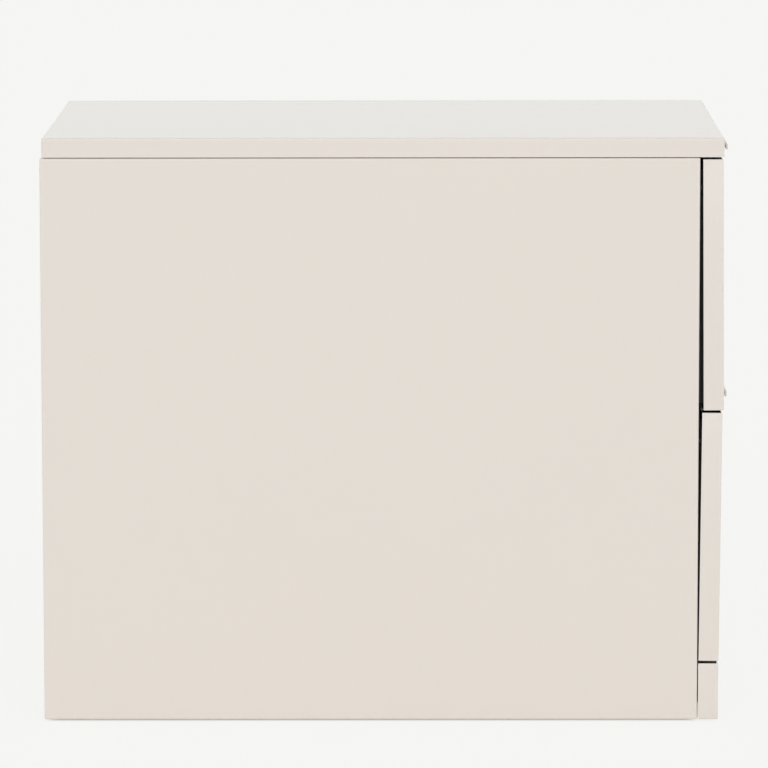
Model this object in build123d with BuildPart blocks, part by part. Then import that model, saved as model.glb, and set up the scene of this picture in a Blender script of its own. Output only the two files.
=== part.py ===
from build123d import *
import os
from math import cos, radians, sin

# Two-drawer metal filing cabinet. Millimetres; X runs across the cabinet, the drawers open
# towards -Y, the floor is Z = 0, and the origin is the middle of the whole box on the floor.

# Case
cabinet_width = 457.0
cabinet_height = 610.0
side_depth = 680.0
foot_lift = 2.0
case_sheet = 1.0
bend_inside = 0.6
return_width = 16.0

# Top pan and the channels under it
top_pan_height = 20.0
top_pan_lip = 6.0
top_reveal = 0.8
top_pan_front_proud = 0.8
top_pan_rear_set_in = 2.2
channel_depth = 40.0
channel_front_inset = 2.0
channel_rear_inset = 20.0

# Drawer fronts: the gap behind a front is given at its upper edge, and a positive lean, in
# degrees, stands its lower edge further out
front_thickness = 21.0
front_rim_notch = 28.0
gap_under_top = 2.3
gap_between_drawers = 2.2
gap_over_kick = 2.5
top_front_gap = 3.0
top_front_lean = 0.44
bottom_front_gap = 3.6
bottom_front_lean = -0.52

# Kick plate
kick_height = 59.1
kick_gap = 0.9
kick_lip = 13.5
kick_screw_spacing = 120.0

# Pulls
pull_width = 132.0
pull_projection = 13.0
pull_lip = 6.5
pull_lip_thickness = 2.0
pull_sheet = 1.2
pull_seat = 16.0
pull_bend_inside = 0.4
rivet_radius = 2.0
rivet_head_radius = 3.5
rivet_head_height = 1.4
rivet_spacing = 50.0

# Drawer boxes
drawer_sheet = 0.8
box_lift = 4.0
wall_hem = 8.0
wall_flange = 9.0
floor_drop = 2.2
back_flange = 10.0
file_rail_below_front = 12.0
file_rail_height = 12.0
file_rail_sheet = 2.0
file_rail_inset = 7.5
file_rail_tab = 6.0
wall_below_file_rail = 2.0

# Full-extension slides, seen in section: distances across count from the upright's face
slide_front_inset = 4.0
slide_rear_room = 36.0
slide_side_clearance = 1.0
slide_height_in_box = 110.0
slide_section_height = 45.7
slide_section_width = 12.7
rail_sheet = 1.2
outer_flange = 10.5
carriage_web_offset = 4.0
carriage_flange = 6.5
inner_flange = 6.3
ball_diameter = 3.2
ball_play = 0.2
ball_count = 5
cage_length = 260.0
cage_sheet = 0.8
cage_width = 4.0
cage_hole_clearance = 0.15

# Uprights, rail between the drawers and base pan
upright_web = 30.0
upright_foot = 12.0
front_upright_inset = 45.0
rear_upright_inset = 90.0
middle_rail_depth = 16.0
middle_rail_clearance = 1.1
base_sheet = 1.2
base_height = 17.0
base_flange = 15.0
base_front_flange = 37.0
base_front_clearance = 1.5

# Back panel
bead_width = 14.0
bead_depth = 2.5
bead_margin = 70.0
bead_count = 3
anchor_spacing = 320.0
anchor_radius = 3.5
anchor_drop = 40.0

# Screws, feet and bumpers
screw_radius = 2.0
screw_clearance = 0.2
screw_head_radius = 3.6
screw_head_height = 1.8
screw_drive_radius = 1.4
screw_drive_depth = 1.0
screw_grip = 3.0
rail_screw_spacing = 16.0
inner_screw_pitch = 220.0
top_screw_inset = 12.5
top_screw_setback = 10.0
foot_inset = 45.0
foot_pad_radius = 15.0
foot_pad_height = 5.0
foot_pad_chamfer = 1.0
foot_stud_radius = 4.0
foot_stud_length = 30.0
foot_hole_clearance = 0.4
foot_nut_flats = 13.0
foot_nut_height = 6.5
bumper_radius = 4.0
bumper_clearance = 0.4
bumper_drop = 30.0

# Places worked out from the sizes above
half_width = cabinet_width / 2
front_reach = max(top_front_gap, bottom_front_gap) + front_thickness + pull_projection
side_front = (front_reach - side_depth) / 2
side_back = side_front + side_depth
side_inner = half_width - case_sheet
fold_radius = case_sheet + bend_inside
top_pan_bottom = cabinet_height - top_pan_height
side_bottom = foot_lift
side_top = top_pan_bottom - top_reveal
side_height = side_top - side_bottom
kick_top = side_bottom + kick_height
kick_back = side_front - kick_gap
fronts_room = top_pan_bottom - gap_under_top - gap_between_drawers - gap_over_kick - kick_top
front_height = fronts_room / 2
bottom_front_top = kick_top + gap_over_kick + front_height
top_front_top = bottom_front_top + gap_between_drawers + front_height
slide_mount = half_width - return_width - slide_side_clearance
slide_front = side_front + slide_front_inset
slide_back = side_back - slide_rear_room
slide_middle = (slide_front + slide_back) / 2
wall_outer = slide_mount - slide_section_width
wall_inner = wall_outer - drawer_sheet
back_panel_outer = side_back - case_sheet
back_panel_inner = back_panel_outer - case_sheet
base_top = base_height + base_sheet
upright_bottom = base_top + base_flange
front_upright = side_front + front_upright_inset
rear_upright = side_back - rear_upright_inset
outer_half = slide_section_height / 2
carriage_half = outer_half - rail_sheet - ball_diameter - ball_play
inner_half = carriage_half - rail_sheet - ball_diameter - ball_play
foot_x = half_width - foot_inset
foot_front = side_front + foot_inset
foot_rear = side_back - foot_inset
front_channel = side_front + channel_front_inset
rear_channel = side_back - channel_rear_inset - channel_depth
top_screw_x = half_width - top_screw_inset
through = 6 * max(case_sheet, rail_sheet, base_sheet, pull_sheet)

SIDES = {"left": -1, "right": 1}
ENDS = {"front": (front_upright, foot_front), "rear": (rear_upright, foot_rear)}
CHANNELS = {
    "front": (front_channel, front_channel + top_screw_setback),
    "rear": (rear_channel, rear_channel + channel_depth - top_screw_setback),
}
DRAWERS = {
    "top": (top_front_top, top_front_gap, top_front_lean),
    "bottom": (bottom_front_top, bottom_front_gap, bottom_front_lean),
}

os.makedirs("parts", exist_ok=True)


def save(piece, node):
    """Label a finished piece and write it under its node's name."""
    piece.part.label = node
    export_step(piece.part, f"parts/{node}.step")


def block(x_limits, y_limits, z_limits, mode=Mode.ADD):
    """Add or cut a square block between pairs of limits."""
    low = Vector(min(x_limits), min(y_limits), min(z_limits))
    size = Vector(max(x_limits), max(y_limits), max(z_limits)) - low
    with Locations(low + size / 2):
        Box(size.X, size.Y, size.Z, mode=mode)


def bore(points, direction, radius):
    """Cut round holes through a sheet, each centred on its point."""
    with Locations(*[Plane(origin=point, z_dir=direction) for point in points]):
        Cylinder(radius, through, mode=Mode.SUBTRACT)


def screws(seats, direction, shank):
    """Pan-head screws: each head stands on its seat, and its shank runs the other way."""
    planes = [Plane(origin=seat, z_dir=direction) for seat in seats]
    recesses = [plane.offset(screw_head_height - screw_drive_depth / 2) for plane in planes]
    with Locations(*planes):
        Cylinder(screw_head_radius, screw_head_height, align=(Align.CENTER, Align.CENTER, Align.MIN))
        Cylinder(screw_radius, shank, align=(Align.CENTER, Align.CENTER, Align.MAX))
    with Locations(*recesses):
        Cylinder(screw_drive_radius, screw_drive_depth, mode=Mode.SUBTRACT)


def rounded_block(plane, width, height, depth, radius):
    """A block on the plane whose edges are rounded, save those that lie on the plane."""
    with BuildPart() as body:
        with BuildSketch(plane):
            Rectangle(width, height)
        extrude(amount=depth)
        rising = body.edges().sort_by(Axis(plane.origin, plane.z_dir))
        fillet(rising[4:], radius=radius)
    return body


def folded_pan(plane, width, height, depth, lip):
    """A sheet pan: the face outwards, rims folded back to the plane, lips turned in there."""
    inner_width = width - 2 * case_sheet
    inner_height = height - 2 * case_sheet
    inner_depth = depth - 2 * case_sheet
    hollow = rounded_block(plane.offset(case_sheet), inner_width, inner_height, inner_depth, bend_inside)
    with BuildPart() as pan:
        add(rounded_block(plane, width, height, depth, bend_inside + case_sheet).part)
        add(hollow.part, mode=Mode.SUBTRACT)
        with BuildSketch(plane):
            RectangleRounded(inner_width - 2 * lip, inner_height - 2 * lip, bend_inside)
        extrude(amount=case_sheet, mode=Mode.SUBTRACT)
    return pan


def front_plane(front_top, gap, lean):
    """The plane behind a drawer front, its origin on the upper edge, facing outwards."""
    outwards = (0, -cos(radians(lean)), sin(radians(lean)))
    return Plane(origin=(0, side_front - gap, front_top), x_dir=(1, 0, 0), z_dir=outwards)


def plane_at(plane, x, y, z):
    """The same plane with its origin moved by these local distances."""
    return Plane(origin=plane.from_local_coords(Vector(x, y, z)), x_dir=plane.x_dir, z_dir=plane.z_dir)


def reach(plane, z):
    """Where a front's back plane stands, along Y, at this height."""
    return plane.origin.Y + (z - plane.origin.Z) * plane.y_dir.Y / plane.y_dir.Z


def slide_x(side, across):
    """Turn a distance across the slide, counted from the upright's face, into X."""
    return side * (slide_mount - across)


def slide_axis(front_top):
    """Height of a drawer's slides."""
    return front_top - front_height + box_lift + slide_height_in_box


def rail(side, axis_z, half_height, web_at, tip_at):
    """One slide rail: a channel along Y with its web and its open side at these distances across."""
    inside = web_at + (rail_sheet if tip_at > web_at else -rail_sheet)
    x_limits = (slide_x(side, web_at), slide_x(side, tip_at))
    y_limits = (slide_front, slide_back)
    with BuildPart() as channel:
        block(x_limits, y_limits, (axis_z - half_height, axis_z + half_height))
        web_first = channel.edges().filter_by(Axis.Y).sort_by_distance((slide_x(side, web_at), 0, axis_z))
        fillet(web_first[:2], radius=rail_sheet)
        opened = (slide_x(side, inside), slide_x(side, tip_at))
        inner_half_height = half_height - rail_sheet
        block(opened, y_limits, (axis_z - inner_half_height, axis_z + inner_half_height), Mode.SUBTRACT)
    return channel


def mount_points(side, axis_z):
    """Where the screws of an outer rail stand, on the inside of its web."""
    points = []
    for upright_y in (front_upright, rear_upright):
        for row in (-1, 1):
            points.append((slide_x(side, rail_sheet), upright_y, axis_z + row * rail_screw_spacing / 2))
    return points


def inner_points(side, axis_z):
    """Where the screws of an inner rail stand, on the inside of its web."""
    across = slide_section_width - rail_sheet
    return [(slide_x(side, across), slide_middle + step * inner_screw_pitch, axis_z) for step in (-1, 0, 1)]


# Side panels: shallow pans with their rims turned into the cabinet
for side_name, side in SIDES.items():
    panel_middle = ((side_front + side_back) / 2, (side_bottom + side_top) / 2)
    panel_plane = Plane(
        origin=(side * (half_width - return_width), *panel_middle),
        x_dir=(0, 1, 0),
        z_dir=(side, 0, 0),
    )
    with BuildPart() as side_panel:
        add(folded_pan(panel_plane, side_depth, side_height, return_width, 0).part)
        holes = [(side * top_screw_x, screw_y, side_top) for _, screw_y in CHANNELS.values()]
        bore(holes, (0, 0, 1), screw_radius + screw_clearance)
    save(side_panel, f"{side_name}_side_panel")

# Back panel: a sheet inside the side panels' rear returns, stiffened by beads pressed inwards
back_half = side_inner - bend_inside
back_bottom = side_bottom + case_sheet + bend_inside
back_top = side_top - case_sheet - bend_inside
bead_length = 2 * (back_half - bead_margin)
bead_pitch = (back_top - back_bottom) / (bead_count + 1)
bead_heights = [(0, back_bottom + (n + 1) * bead_pitch) for n in range(bead_count)]
with BuildPart() as back_panel:
    block((-back_half, back_half), (back_panel_inner, back_panel_outer), (back_bottom, back_top))
    with BuildSketch(Plane.XZ.offset(-back_panel_inner)):
        with Locations(*bead_heights):
            SlotOverall(bead_length, bead_width)
    extrude(amount=bead_depth)
    with BuildSketch(Plane.XZ.offset(-back_panel_outer)):
        with Locations(*bead_heights):
            SlotOverall(bead_length - 2 * case_sheet, bead_width - 2 * case_sheet)
    extrude(amount=bead_depth, mode=Mode.SUBTRACT)
    anchors = [(x * anchor_spacing / 2, back_panel_inner, back_top - anchor_drop) for x in (-1, 1)]
    bore(anchors, (0, 1, 0), anchor_radius)
save(back_panel, "back_panel")

# Top pan: stands a little proud of the upper drawer front and is set in a little at the back
top_front = side_front - top_front_gap - front_thickness - top_pan_front_proud
top_back = side_back - top_pan_rear_set_in
top_plane = Plane(origin=(0, (top_front + top_back) / 2, top_pan_bottom))
save(folded_pan(top_plane, cabinet_width, top_back - top_front, top_pan_height, top_pan_lip), "top_panel")

# Channels that tie the side panels' upper returns together and carry the top pan
channel_half = side_inner - top_pan_lip - 2 * case_sheet
channel_top = cabinet_height - case_sheet
for end_name, (channel_front, screw_y) in CHANNELS.items():
    y_limits = (channel_front, channel_front + channel_depth)
    with BuildPart() as top_channel:
        block((-channel_half, channel_half), y_limits, (side_top, channel_top))
        opened = (channel_front + (case_sheet if end_name == "front" else 0),
                  channel_front + channel_depth - (case_sheet if end_name == "rear" else 0))
        inside = (side_top + case_sheet, channel_top - case_sheet)
        block((-channel_half, channel_half), opened, inside, Mode.SUBTRACT)
        holes = [(side * top_screw_x, screw_y, side_top) for side in SIDES.values()]
        bore(holes, (0, 0, 1), screw_radius + screw_clearance)
    save(top_channel, f"top_{end_name}_channel")

with BuildPart() as top_screws:
    under_return = side_top - case_sheet
    seats = [(side * top_screw_x, y, under_return) for side in SIDES.values() for _, y in CHANNELS.values()]
    screws(seats, (0, 0, -1), 2 * case_sheet + screw_grip)
save(top_screws, "top_screws")

# Base pan: carries the feet, with flanges up the sides and a front flange behind the kick plate
tongue_half = half_width - return_width - base_front_clearance
kick_screw_z = base_height + base_front_flange - 2 * screw_radius
kick_holes = [(step * kick_screw_spacing, kick_back, kick_screw_z) for step in (-1, 0, 1)]
base_y = (side_front + case_sheet + bend_inside, back_panel_inner - bead_depth - bend_inside)
foot_places = [(side * foot_x, y, base_height) for side in SIDES.values() for _, y in ENDS.values()]
with BuildPart() as base_pan:
    block((-side_inner, side_inner), base_y, (base_height, base_top))
    for side in SIDES.values():
        flange_x = (side * side_inner, side * (side_inner - base_sheet))
        block(flange_x, base_y, (base_height, base_top + base_flange))
    block((-tongue_half, tongue_half), (kick_back, base_y[0]), (base_height, base_top))
    front_flange_z = (base_height, base_height + base_front_flange)
    block((-tongue_half, tongue_half), (kick_back, kick_back + base_sheet), front_flange_z)
    bore(foot_places, (0, 0, 1), foot_stud_radius + foot_hole_clearance)
    bore(kick_holes, (0, 1, 0), screw_radius + screw_clearance)
save(base_pan, "base_pan")

with BuildPart() as foot_nuts:
    with BuildSketch(Plane.XY.offset(base_top)):
        with Locations(*[(x, y) for x, y, _ in foot_places]):
            RegularPolygon(foot_nut_flats / 2, 6, major_radius=False)
            Circle(foot_stud_radius + foot_hole_clearance, mode=Mode.SUBTRACT)
    extrude(amount=foot_nut_height)
save(foot_nuts, "foot_nuts")

# Kick plate, open above the base pan's flange, and its screws
kick_plane = Plane(origin=(0, kick_back, side_bottom + kick_height / 2), x_dir=(1, 0, 0), z_dir=(0, -1, 0))
with BuildPart() as kick_plate:
    add(folded_pan(kick_plane, cabinet_width, kick_height, front_thickness, kick_lip).part)
    opening_half = half_width - fold_radius
    opening_y = (kick_back - front_thickness + fold_radius, kick_back)
    block((-opening_half, opening_half), opening_y, (front_flange_z[1], kick_top), Mode.SUBTRACT)
    bore(kick_holes, (0, 1, 0), screw_radius + screw_clearance)
save(kick_plate, "kick_plate")

with BuildPart() as kick_screws:
    seats = [(x, kick_back + base_sheet, z) for x, _, z in kick_holes]
    screws(seats, (0, 1, 0), base_sheet + case_sheet + screw_grip)
save(kick_screws, "kick_screws")

# Rail between the drawers, open underneath
middle_half = side_inner - bend_inside
middle_front = side_front + case_sheet
middle_bottom = bottom_front_top + middle_rail_clearance
middle_top = top_front_top - front_height + box_lift - middle_rail_clearance
with BuildPart() as middle_rail:
    block((-middle_half, middle_half), (middle_front, middle_front + middle_rail_depth),
          (middle_bottom, middle_top))
    block((-middle_half, middle_half),
          (middle_front + case_sheet, middle_front + middle_rail_depth - case_sheet),
          (middle_bottom, middle_top - case_sheet), Mode.SUBTRACT)
save(middle_rail, "middle_rail")

# Uprights: hat sections on the side panels that the outer slide rails are screwed to
for side_name, side in SIDES.items():
    for end_name, (upright_y, _) in ENDS.items():
        web_y = (upright_y - upright_web / 2, upright_y + upright_web / 2)
        upright_z = (upright_bottom, side_top - case_sheet - bend_inside)
        with BuildPart() as upright:
            block((side * slide_mount, side * side_inner), web_y, upright_z)
            block((side * (side_inner - case_sheet), side * side_inner),
                  (web_y[0] - upright_foot, web_y[1] + upright_foot), upright_z)
            block((side * (slide_mount + case_sheet), side * side_inner),
                  (web_y[0] + case_sheet, web_y[1] - case_sheet), upright_z, Mode.SUBTRACT)
            holes = []
            for front_top, _, _ in DRAWERS.values():
                holes += [p for p in mount_points(side, slide_axis(front_top)) if p[1] == upright_y]
            bore(holes, (1, 0, 0), screw_radius + screw_clearance)
        save(upright, f"{side_name}_{end_name}_upright")

# Outer and carriage rails of every slide, and the screws of the outer rails
for drawer_name, (front_top, _, _) in DRAWERS.items():
    axis_z = slide_axis(front_top)
    for side_name, side in SIDES.items():
        with BuildPart() as outer_rail:
            add(rail(side, axis_z, outer_half, 0, outer_flange).part)
            bore(mount_points(side, axis_z), (1, 0, 0), screw_radius + screw_clearance)
        save(outer_rail, f"{drawer_name}_{side_name}_outer_rail")
        carriage_tip = carriage_web_offset + carriage_flange
        carriage_rail = rail(side, axis_z, carriage_half, carriage_web_offset, carriage_tip)
        save(carriage_rail, f"{drawer_name}_{side_name}_carriage_rail")

with BuildPart() as slide_screws:
    for front_top, _, _ in DRAWERS.values():
        for side in SIDES.values():
            screws(mount_points(side, slide_axis(front_top)), (-side, 0, 0),
                   rail_sheet + case_sheet + screw_grip)
save(slide_screws, "slide_screws")

# Ball cages: retainer strips with balls in two rows, left and right, outside and inside the carriage
outer_row = (outer_half - rail_sheet + carriage_half) / 2
inner_row = (carriage_half - rail_sheet + inner_half) / 2
outer_ball_at = (carriage_web_offset + outer_flange) / 2
inner_ball_at = (slide_section_width - inner_flange + carriage_web_offset + carriage_flange) / 2
cage_rows = {"outer": (outer_row, outer_ball_at), "inner": (inner_row, inner_ball_at)}
ball_pitch = cage_length / ball_count
ball_steps = [slide_middle + (n - (ball_count - 1) / 2) * ball_pitch for n in range(ball_count)]
for drawer_name, (front_top, _, _) in DRAWERS.items():
    for set_name, (row_offset, ball_at) in cage_rows.items():
        balls = []
        with BuildPart() as ball_cages:
            for side in SIDES.values():
                ball_x = slide_x(side, ball_at)
                for row in (-1, 1):
                    row_z = slide_axis(front_top) + row * row_offset
                    block((ball_x - cage_width / 2, ball_x + cage_width / 2),
                          (slide_middle - cage_length / 2, slide_middle + cage_length / 2),
                          (row_z - cage_sheet / 2, row_z + cage_sheet / 2))
                    balls += [(ball_x, y, row_z) for y in ball_steps]
            bore(balls, (0, 0, 1), ball_diameter / 2 + cage_hole_clearance)
            with Locations(*balls):
                Sphere(ball_diameter / 2)
        save(ball_cages, f"{drawer_name}_{set_name}_ball_cages")

# Drawers
for drawer_name, (front_top, gap, lean) in DRAWERS.items():
    node = f"{drawer_name}_drawer"
    back_plane = front_plane(front_top, gap, lean)
    across = Axis(back_plane.origin, back_plane.z_dir)
    upwards = Axis(back_plane.origin, back_plane.y_dir)
    section_plane = Plane(origin=back_plane.origin, x_dir=back_plane.z_dir, z_dir=(-1, 0, 0))
    front_bottom = front_top - front_height
    box_bottom = front_bottom + box_lift
    file_top = front_top - file_rail_below_front
    wall_top = file_top - wall_below_file_rail
    floor_top = box_bottom + floor_drop + drawer_sheet
    back_wall_front = slide_back - back_flange
    axis_z = slide_axis(front_top)
    rivet_at = front_thickness - pull_seat / 2
    rivet_places = [plane_at(back_plane, step * rivet_spacing, 0, rivet_at).origin for step in (-1, 0, 1)]

    # Front: a pan, its upper rim notched at both ends, with a liner that closes its back
    middle_plane = plane_at(back_plane, 0, -front_height / 2, 0)
    rim_plane = Plane(origin=back_plane.origin, x_dir=(1, 0, 0), z_dir=back_plane.y_dir)
    notch_x = half_width - fold_radius - front_rim_notch / 2
    with BuildPart() as front:
        add(folded_pan(middle_plane, cabinet_width, front_height, front_thickness, 0).part)
        with BuildSketch(rim_plane):
            with Locations(*[(side * notch_x, 0) for side in SIDES.values()]):
                Rectangle(front_rim_notch, front_thickness - fold_radius, align=(Align.CENTER, Align.MAX))
        extrude(amount=-fold_radius, mode=Mode.SUBTRACT)
        bore(rivet_places, back_plane.y_dir, rivet_radius + screw_clearance)
    save(front, f"{node}_front")

    with BuildPart() as liner:
        with BuildSketch(middle_plane):
            RectangleRounded(cabinet_width - 2 * case_sheet, front_height - 2 * case_sheet, bend_inside)
        extrude(amount=drawer_sheet)
    save(liner, f"{node}_liner")

    # Pull: a plate on the front's upper rim with its outer edge turned down and hemmed
    pull_tip = front_thickness + pull_projection
    with BuildPart() as pull:
        with BuildSketch(section_plane):
            Polygon(
                (front_thickness - pull_seat, 0),
                (front_thickness - pull_seat, pull_sheet),
                (pull_tip, pull_sheet),
                (pull_tip, pull_sheet - pull_lip),
                (pull_tip - pull_lip_thickness, pull_sheet - pull_lip),
                (pull_tip - pull_lip_thickness, 0),
                align=None,
            )
        extrude(amount=pull_width / 2, both=True)
        lengthwise = pull.edges().filter_by(Axis.X)
        outer_bend = lengthwise.group_by(across)[-1].sort_by(upwards)[-1]
        inner_bend = lengthwise.group_by(across)[-2].sort_by(upwards)[-1]
        fillet(outer_bend, radius=pull_bend_inside + pull_sheet)
        fillet(inner_bend, radius=pull_bend_inside)
        bore(rivet_places, back_plane.y_dir, rivet_radius + screw_clearance)
    save(pull, f"{node}_pull")

    with BuildPart() as pull_rivets:
        under_rim = [point - back_plane.y_dir * case_sheet for point in rivet_places]
        with Locations(*[Plane(origin=point, z_dir=back_plane.y_dir) for point in under_rim]):
            Cylinder(rivet_radius, case_sheet + pull_sheet, align=(Align.CENTER, Align.CENTER, Align.MIN))
            Cylinder(rivet_head_radius, rivet_head_height, align=(Align.CENTER, Align.CENTER, Align.MAX))
    save(pull_rivets, f"{node}_pull_rivets")

    # Floor and back wall, with flanges against the side walls
    floor_front = max(reach(back_plane, floor_top), reach(back_plane, box_bottom))
    with BuildPart() as floor:
        block((-wall_inner, wall_inner), (floor_front, back_wall_front),
              (floor_top - drawer_sheet, floor_top))
        for side in SIDES.values():
            block((side * wall_inner, side * (wall_inner - drawer_sheet)),
                  (floor_front, back_wall_front), (box_bottom, floor_top))
    save(floor, f"{node}_floor")

    with BuildPart() as back_wall:
        block((-wall_inner, wall_inner), (back_wall_front, back_wall_front + drawer_sheet),
              (box_bottom, wall_top))
        for side in SIDES.values():
            block((side * wall_inner, side * (wall_inner - drawer_sheet)),
                  (back_wall_front, slide_back), (box_bottom, wall_top))
    save(back_wall, f"{node}_back_wall")

    for side_name, side in SIDES.items():
        # Side wall: its front end follows the front, with a flange there and a hem along its upper edge
        with BuildPart() as wall:
            with BuildSketch(Plane.YZ.offset(side * wall_inner)):
                Polygon(
                    (reach(back_plane, box_bottom), box_bottom),
                    (slide_back, box_bottom),
                    (slide_back, wall_top),
                    (reach(back_plane, wall_top), wall_top),
                    align=None,
                )
            extrude(amount=side * drawer_sheet)
            flange_x = side * (wall_inner + wall_flange / 2)
            flange_y = (box_bottom + wall_top) / 2 - front_top
            with BuildSketch(back_plane):
                with Locations((flange_x, flange_y)):
                    Rectangle(wall_flange, wall_top - box_bottom)
            extrude(amount=-drawer_sheet)
            block((side * wall_outer, side * (wall_outer + drawer_sheet)),
                  (slide_front, slide_back), (wall_top - wall_hem, wall_top))
            bore(inner_points(side, axis_z), (1, 0, 0), screw_radius + screw_clearance)
        save(wall, f"{node}_{side_name}_wall")

        # Hanging-file rail: a strip on edge, its ends turned out as tabs
        rail_x = side * (wall_inner - file_rail_inset)
        strip_bottom = file_top - file_rail_height
        with BuildPart() as file_rail:
            with BuildSketch(Plane.YZ.offset(rail_x)):
                Polygon(
                    (reach(back_plane, strip_bottom), strip_bottom),
                    (back_wall_front, strip_bottom),
                    (back_wall_front, file_top),
                    (reach(back_plane, file_top), file_top),
                    align=None,
                )
            extrude(amount=file_rail_sheet / 2, both=True)
            tab_x = (rail_x, rail_x + side * file_rail_tab)
            block(tab_x, (back_wall_front - file_rail_sheet, back_wall_front), (strip_bottom, file_top))
            with BuildSketch(back_plane):
                with Locations((sum(tab_x) / 2, -file_rail_below_front - file_rail_height / 2)):
                    Rectangle(file_rail_tab, file_rail_height)
            extrude(amount=-file_rail_sheet)
        save(file_rail, f"{node}_{side_name}_file_rail")

        with BuildPart() as inner_rail:
            inner_tip = slide_section_width - inner_flange
            add(rail(side, axis_z, inner_half, slide_section_width, inner_tip).part)
            bore(inner_points(side, axis_z), (1, 0, 0), screw_radius + screw_clearance)
        save(inner_rail, f"{node}_{side_name}_inner_rail")

    with BuildPart() as rail_screws:
        for side in SIDES.values():
            screws(inner_points(side, axis_z), (side, 0, 0), rail_sheet + drawer_sheet + screw_grip)
    save(rail_screws, f"{node}_rail_screws")

# Bumpers: rubber discs on the side panels' front returns that the drawer fronts close against
with BuildPart() as drawer_bumpers:
    for front_top, gap, lean in DRAWERS.values():
        bumper_z = front_top - bumper_drop
        resting = front_plane(front_top, gap, lean)
        nearest = max(reach(resting, bumper_z - bumper_radius), reach(resting, bumper_z + bumper_radius))
        for side in SIDES.values():
            bumper_plane = Plane(
                origin=(side * (half_width - return_width / 2), side_front, bumper_z), z_dir=(0, -1, 0)
            )
            with Locations(bumper_plane):
                Cylinder(bumper_radius, side_front - nearest - bumper_clearance,
                         align=(Align.CENTER, Align.CENTER, Align.MIN))
save(drawer_bumpers, "drawer_bumpers")

# Levelling feet: a pad on a stud that turns in the base pan's nut
for side_name, side in SIDES.items():
    for end_name, (_, foot_y) in ENDS.items():
        with BuildPart() as foot:
            with Locations((side * foot_x, foot_y, 0)):
                Cylinder(foot_pad_radius, foot_pad_height, align=(Align.CENTER, Align.CENTER, Align.MIN))
            chamfer(foot.faces().sort_by(Axis.Z)[-1].edges(), length=foot_pad_chamfer)
            with Locations((side * foot_x, foot_y, foot_pad_height)):
                Cylinder(foot_stud_radius, foot_stud_length, align=(Align.CENTER, Align.CENTER, Align.MIN))
        save(foot, f"{side_name}_{end_name}_foot")
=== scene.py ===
import logging
import math
from collections.abc import Callable, Iterable, Sequence
from dataclasses import dataclass
from enum import Enum

import bmesh
import bpy
from mathutils import Matrix, Vector


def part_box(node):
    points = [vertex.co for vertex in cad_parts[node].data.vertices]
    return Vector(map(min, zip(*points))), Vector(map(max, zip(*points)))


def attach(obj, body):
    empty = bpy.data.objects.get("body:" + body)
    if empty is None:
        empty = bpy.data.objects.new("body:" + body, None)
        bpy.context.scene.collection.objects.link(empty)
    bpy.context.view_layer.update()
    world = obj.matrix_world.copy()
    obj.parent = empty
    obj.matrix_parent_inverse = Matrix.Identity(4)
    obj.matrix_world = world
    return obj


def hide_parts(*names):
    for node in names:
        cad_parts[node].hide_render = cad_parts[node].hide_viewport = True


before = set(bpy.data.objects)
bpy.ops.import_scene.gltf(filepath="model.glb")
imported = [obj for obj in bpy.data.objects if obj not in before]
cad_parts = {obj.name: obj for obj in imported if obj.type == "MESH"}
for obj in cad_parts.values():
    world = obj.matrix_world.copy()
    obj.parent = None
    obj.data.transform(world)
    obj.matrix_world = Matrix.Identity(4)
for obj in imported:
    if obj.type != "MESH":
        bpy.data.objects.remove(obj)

log = logging.getLogger("filing_cabinet")

MM = 0.001
QUARTER = math.pi / 2
SHARP_FOLD = math.radians(38)
SHEET = 1.0 * MM
BEND = 1.6 * MM
RAIL_SHEET = 1.2 * MM
SIDES: dict[str, int] = {"left": -1, "right": 1}
ENDS = ("front", "rear")
LEANS: dict[str, float] = {"top": 0.44, "bottom": -0.52}
ACROSS, BACK, UP, FRONT, DOWN = (
    Vector(axis) for axis in ((1, 0, 0), (0, 1, 0), (0, 0, 1), (0, -1, 0), (0, 0, -1))
)

Piece = bpy.types.Object
Colour = tuple[float, float, float, float]
Block = tuple[Vector, Vector]


def linear(red: int, green: int, blue: int) -> Colour:
    """Turn a colour as a screen shows it, 0 to 255, into scene-linear red, green, blue and alpha."""
    shares = [value / 255 for value in (red, green, blue)]
    return (*(c / 12.92 if c <= 0.04045 else ((c + 0.055) / 1.055) ** 2.4 for c in shares), 1.0)


def toned(colour: Colour, factor: float, lift: float = 0.0) -> Colour:
    """Make a colour lighter or darker, and hold it under white."""
    return (*(min(1.0, c * factor + lift) for c in colour[:3]), 1.0)


def operator(operation: str, flipped: bool = False) -> Callable[["Expr", "Expr | float"], "Expr"]:
    """Make a method that adds one Math node.

    Args:
        operation: The node's operation.
        flipped: Whether the other value goes first.

    Returns:
        The method.
    """

    def apply(self: "Expr", other: "Expr | float") -> "Expr":
        """Do the arithmetic."""
        return self.web.math(operation, *((other, self) if flipped else (self, other)))

    return apply


class Expr:
    """A node socket that takes part in Python arithmetic, each operator adding a Math node."""

    __add__, __radd__ = operator("ADD"), operator("ADD", True)
    __sub__, __rsub__ = operator("SUBTRACT"), operator("SUBTRACT", True)
    __mul__, __rmul__ = operator("MULTIPLY"), operator("MULTIPLY", True)
    __truediv__ = operator("DIVIDE")
    greatest, least, above = operator("MAXIMUM"), operator("MINIMUM"), operator("GREATER_THAN")

    def __init__(self, web: "NodeWeb", socket: bpy.types.NodeSocket) -> None:
        """Keep the socket and the web it belongs to."""
        self.web = web
        self.socket = socket

    def math(self, operation: str) -> "Expr":
        """Put the value through a Math node with one input."""
        return self.web.math(operation, self)

    def ramp(self, low: float, high: float) -> "Expr":
        """Nought below low, one above high, a smooth rise between."""
        sockets = {"Value": self, "From Min": low, "From Max": high}
        return self.web.out("ShaderNodeMapRange", sockets, interpolation_type="SMOOTHSTEP")


Socketable = Expr | bpy.types.Material | float | int | bool | str | Sequence[float]
Sockets = dict[str | int, Socketable]


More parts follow.
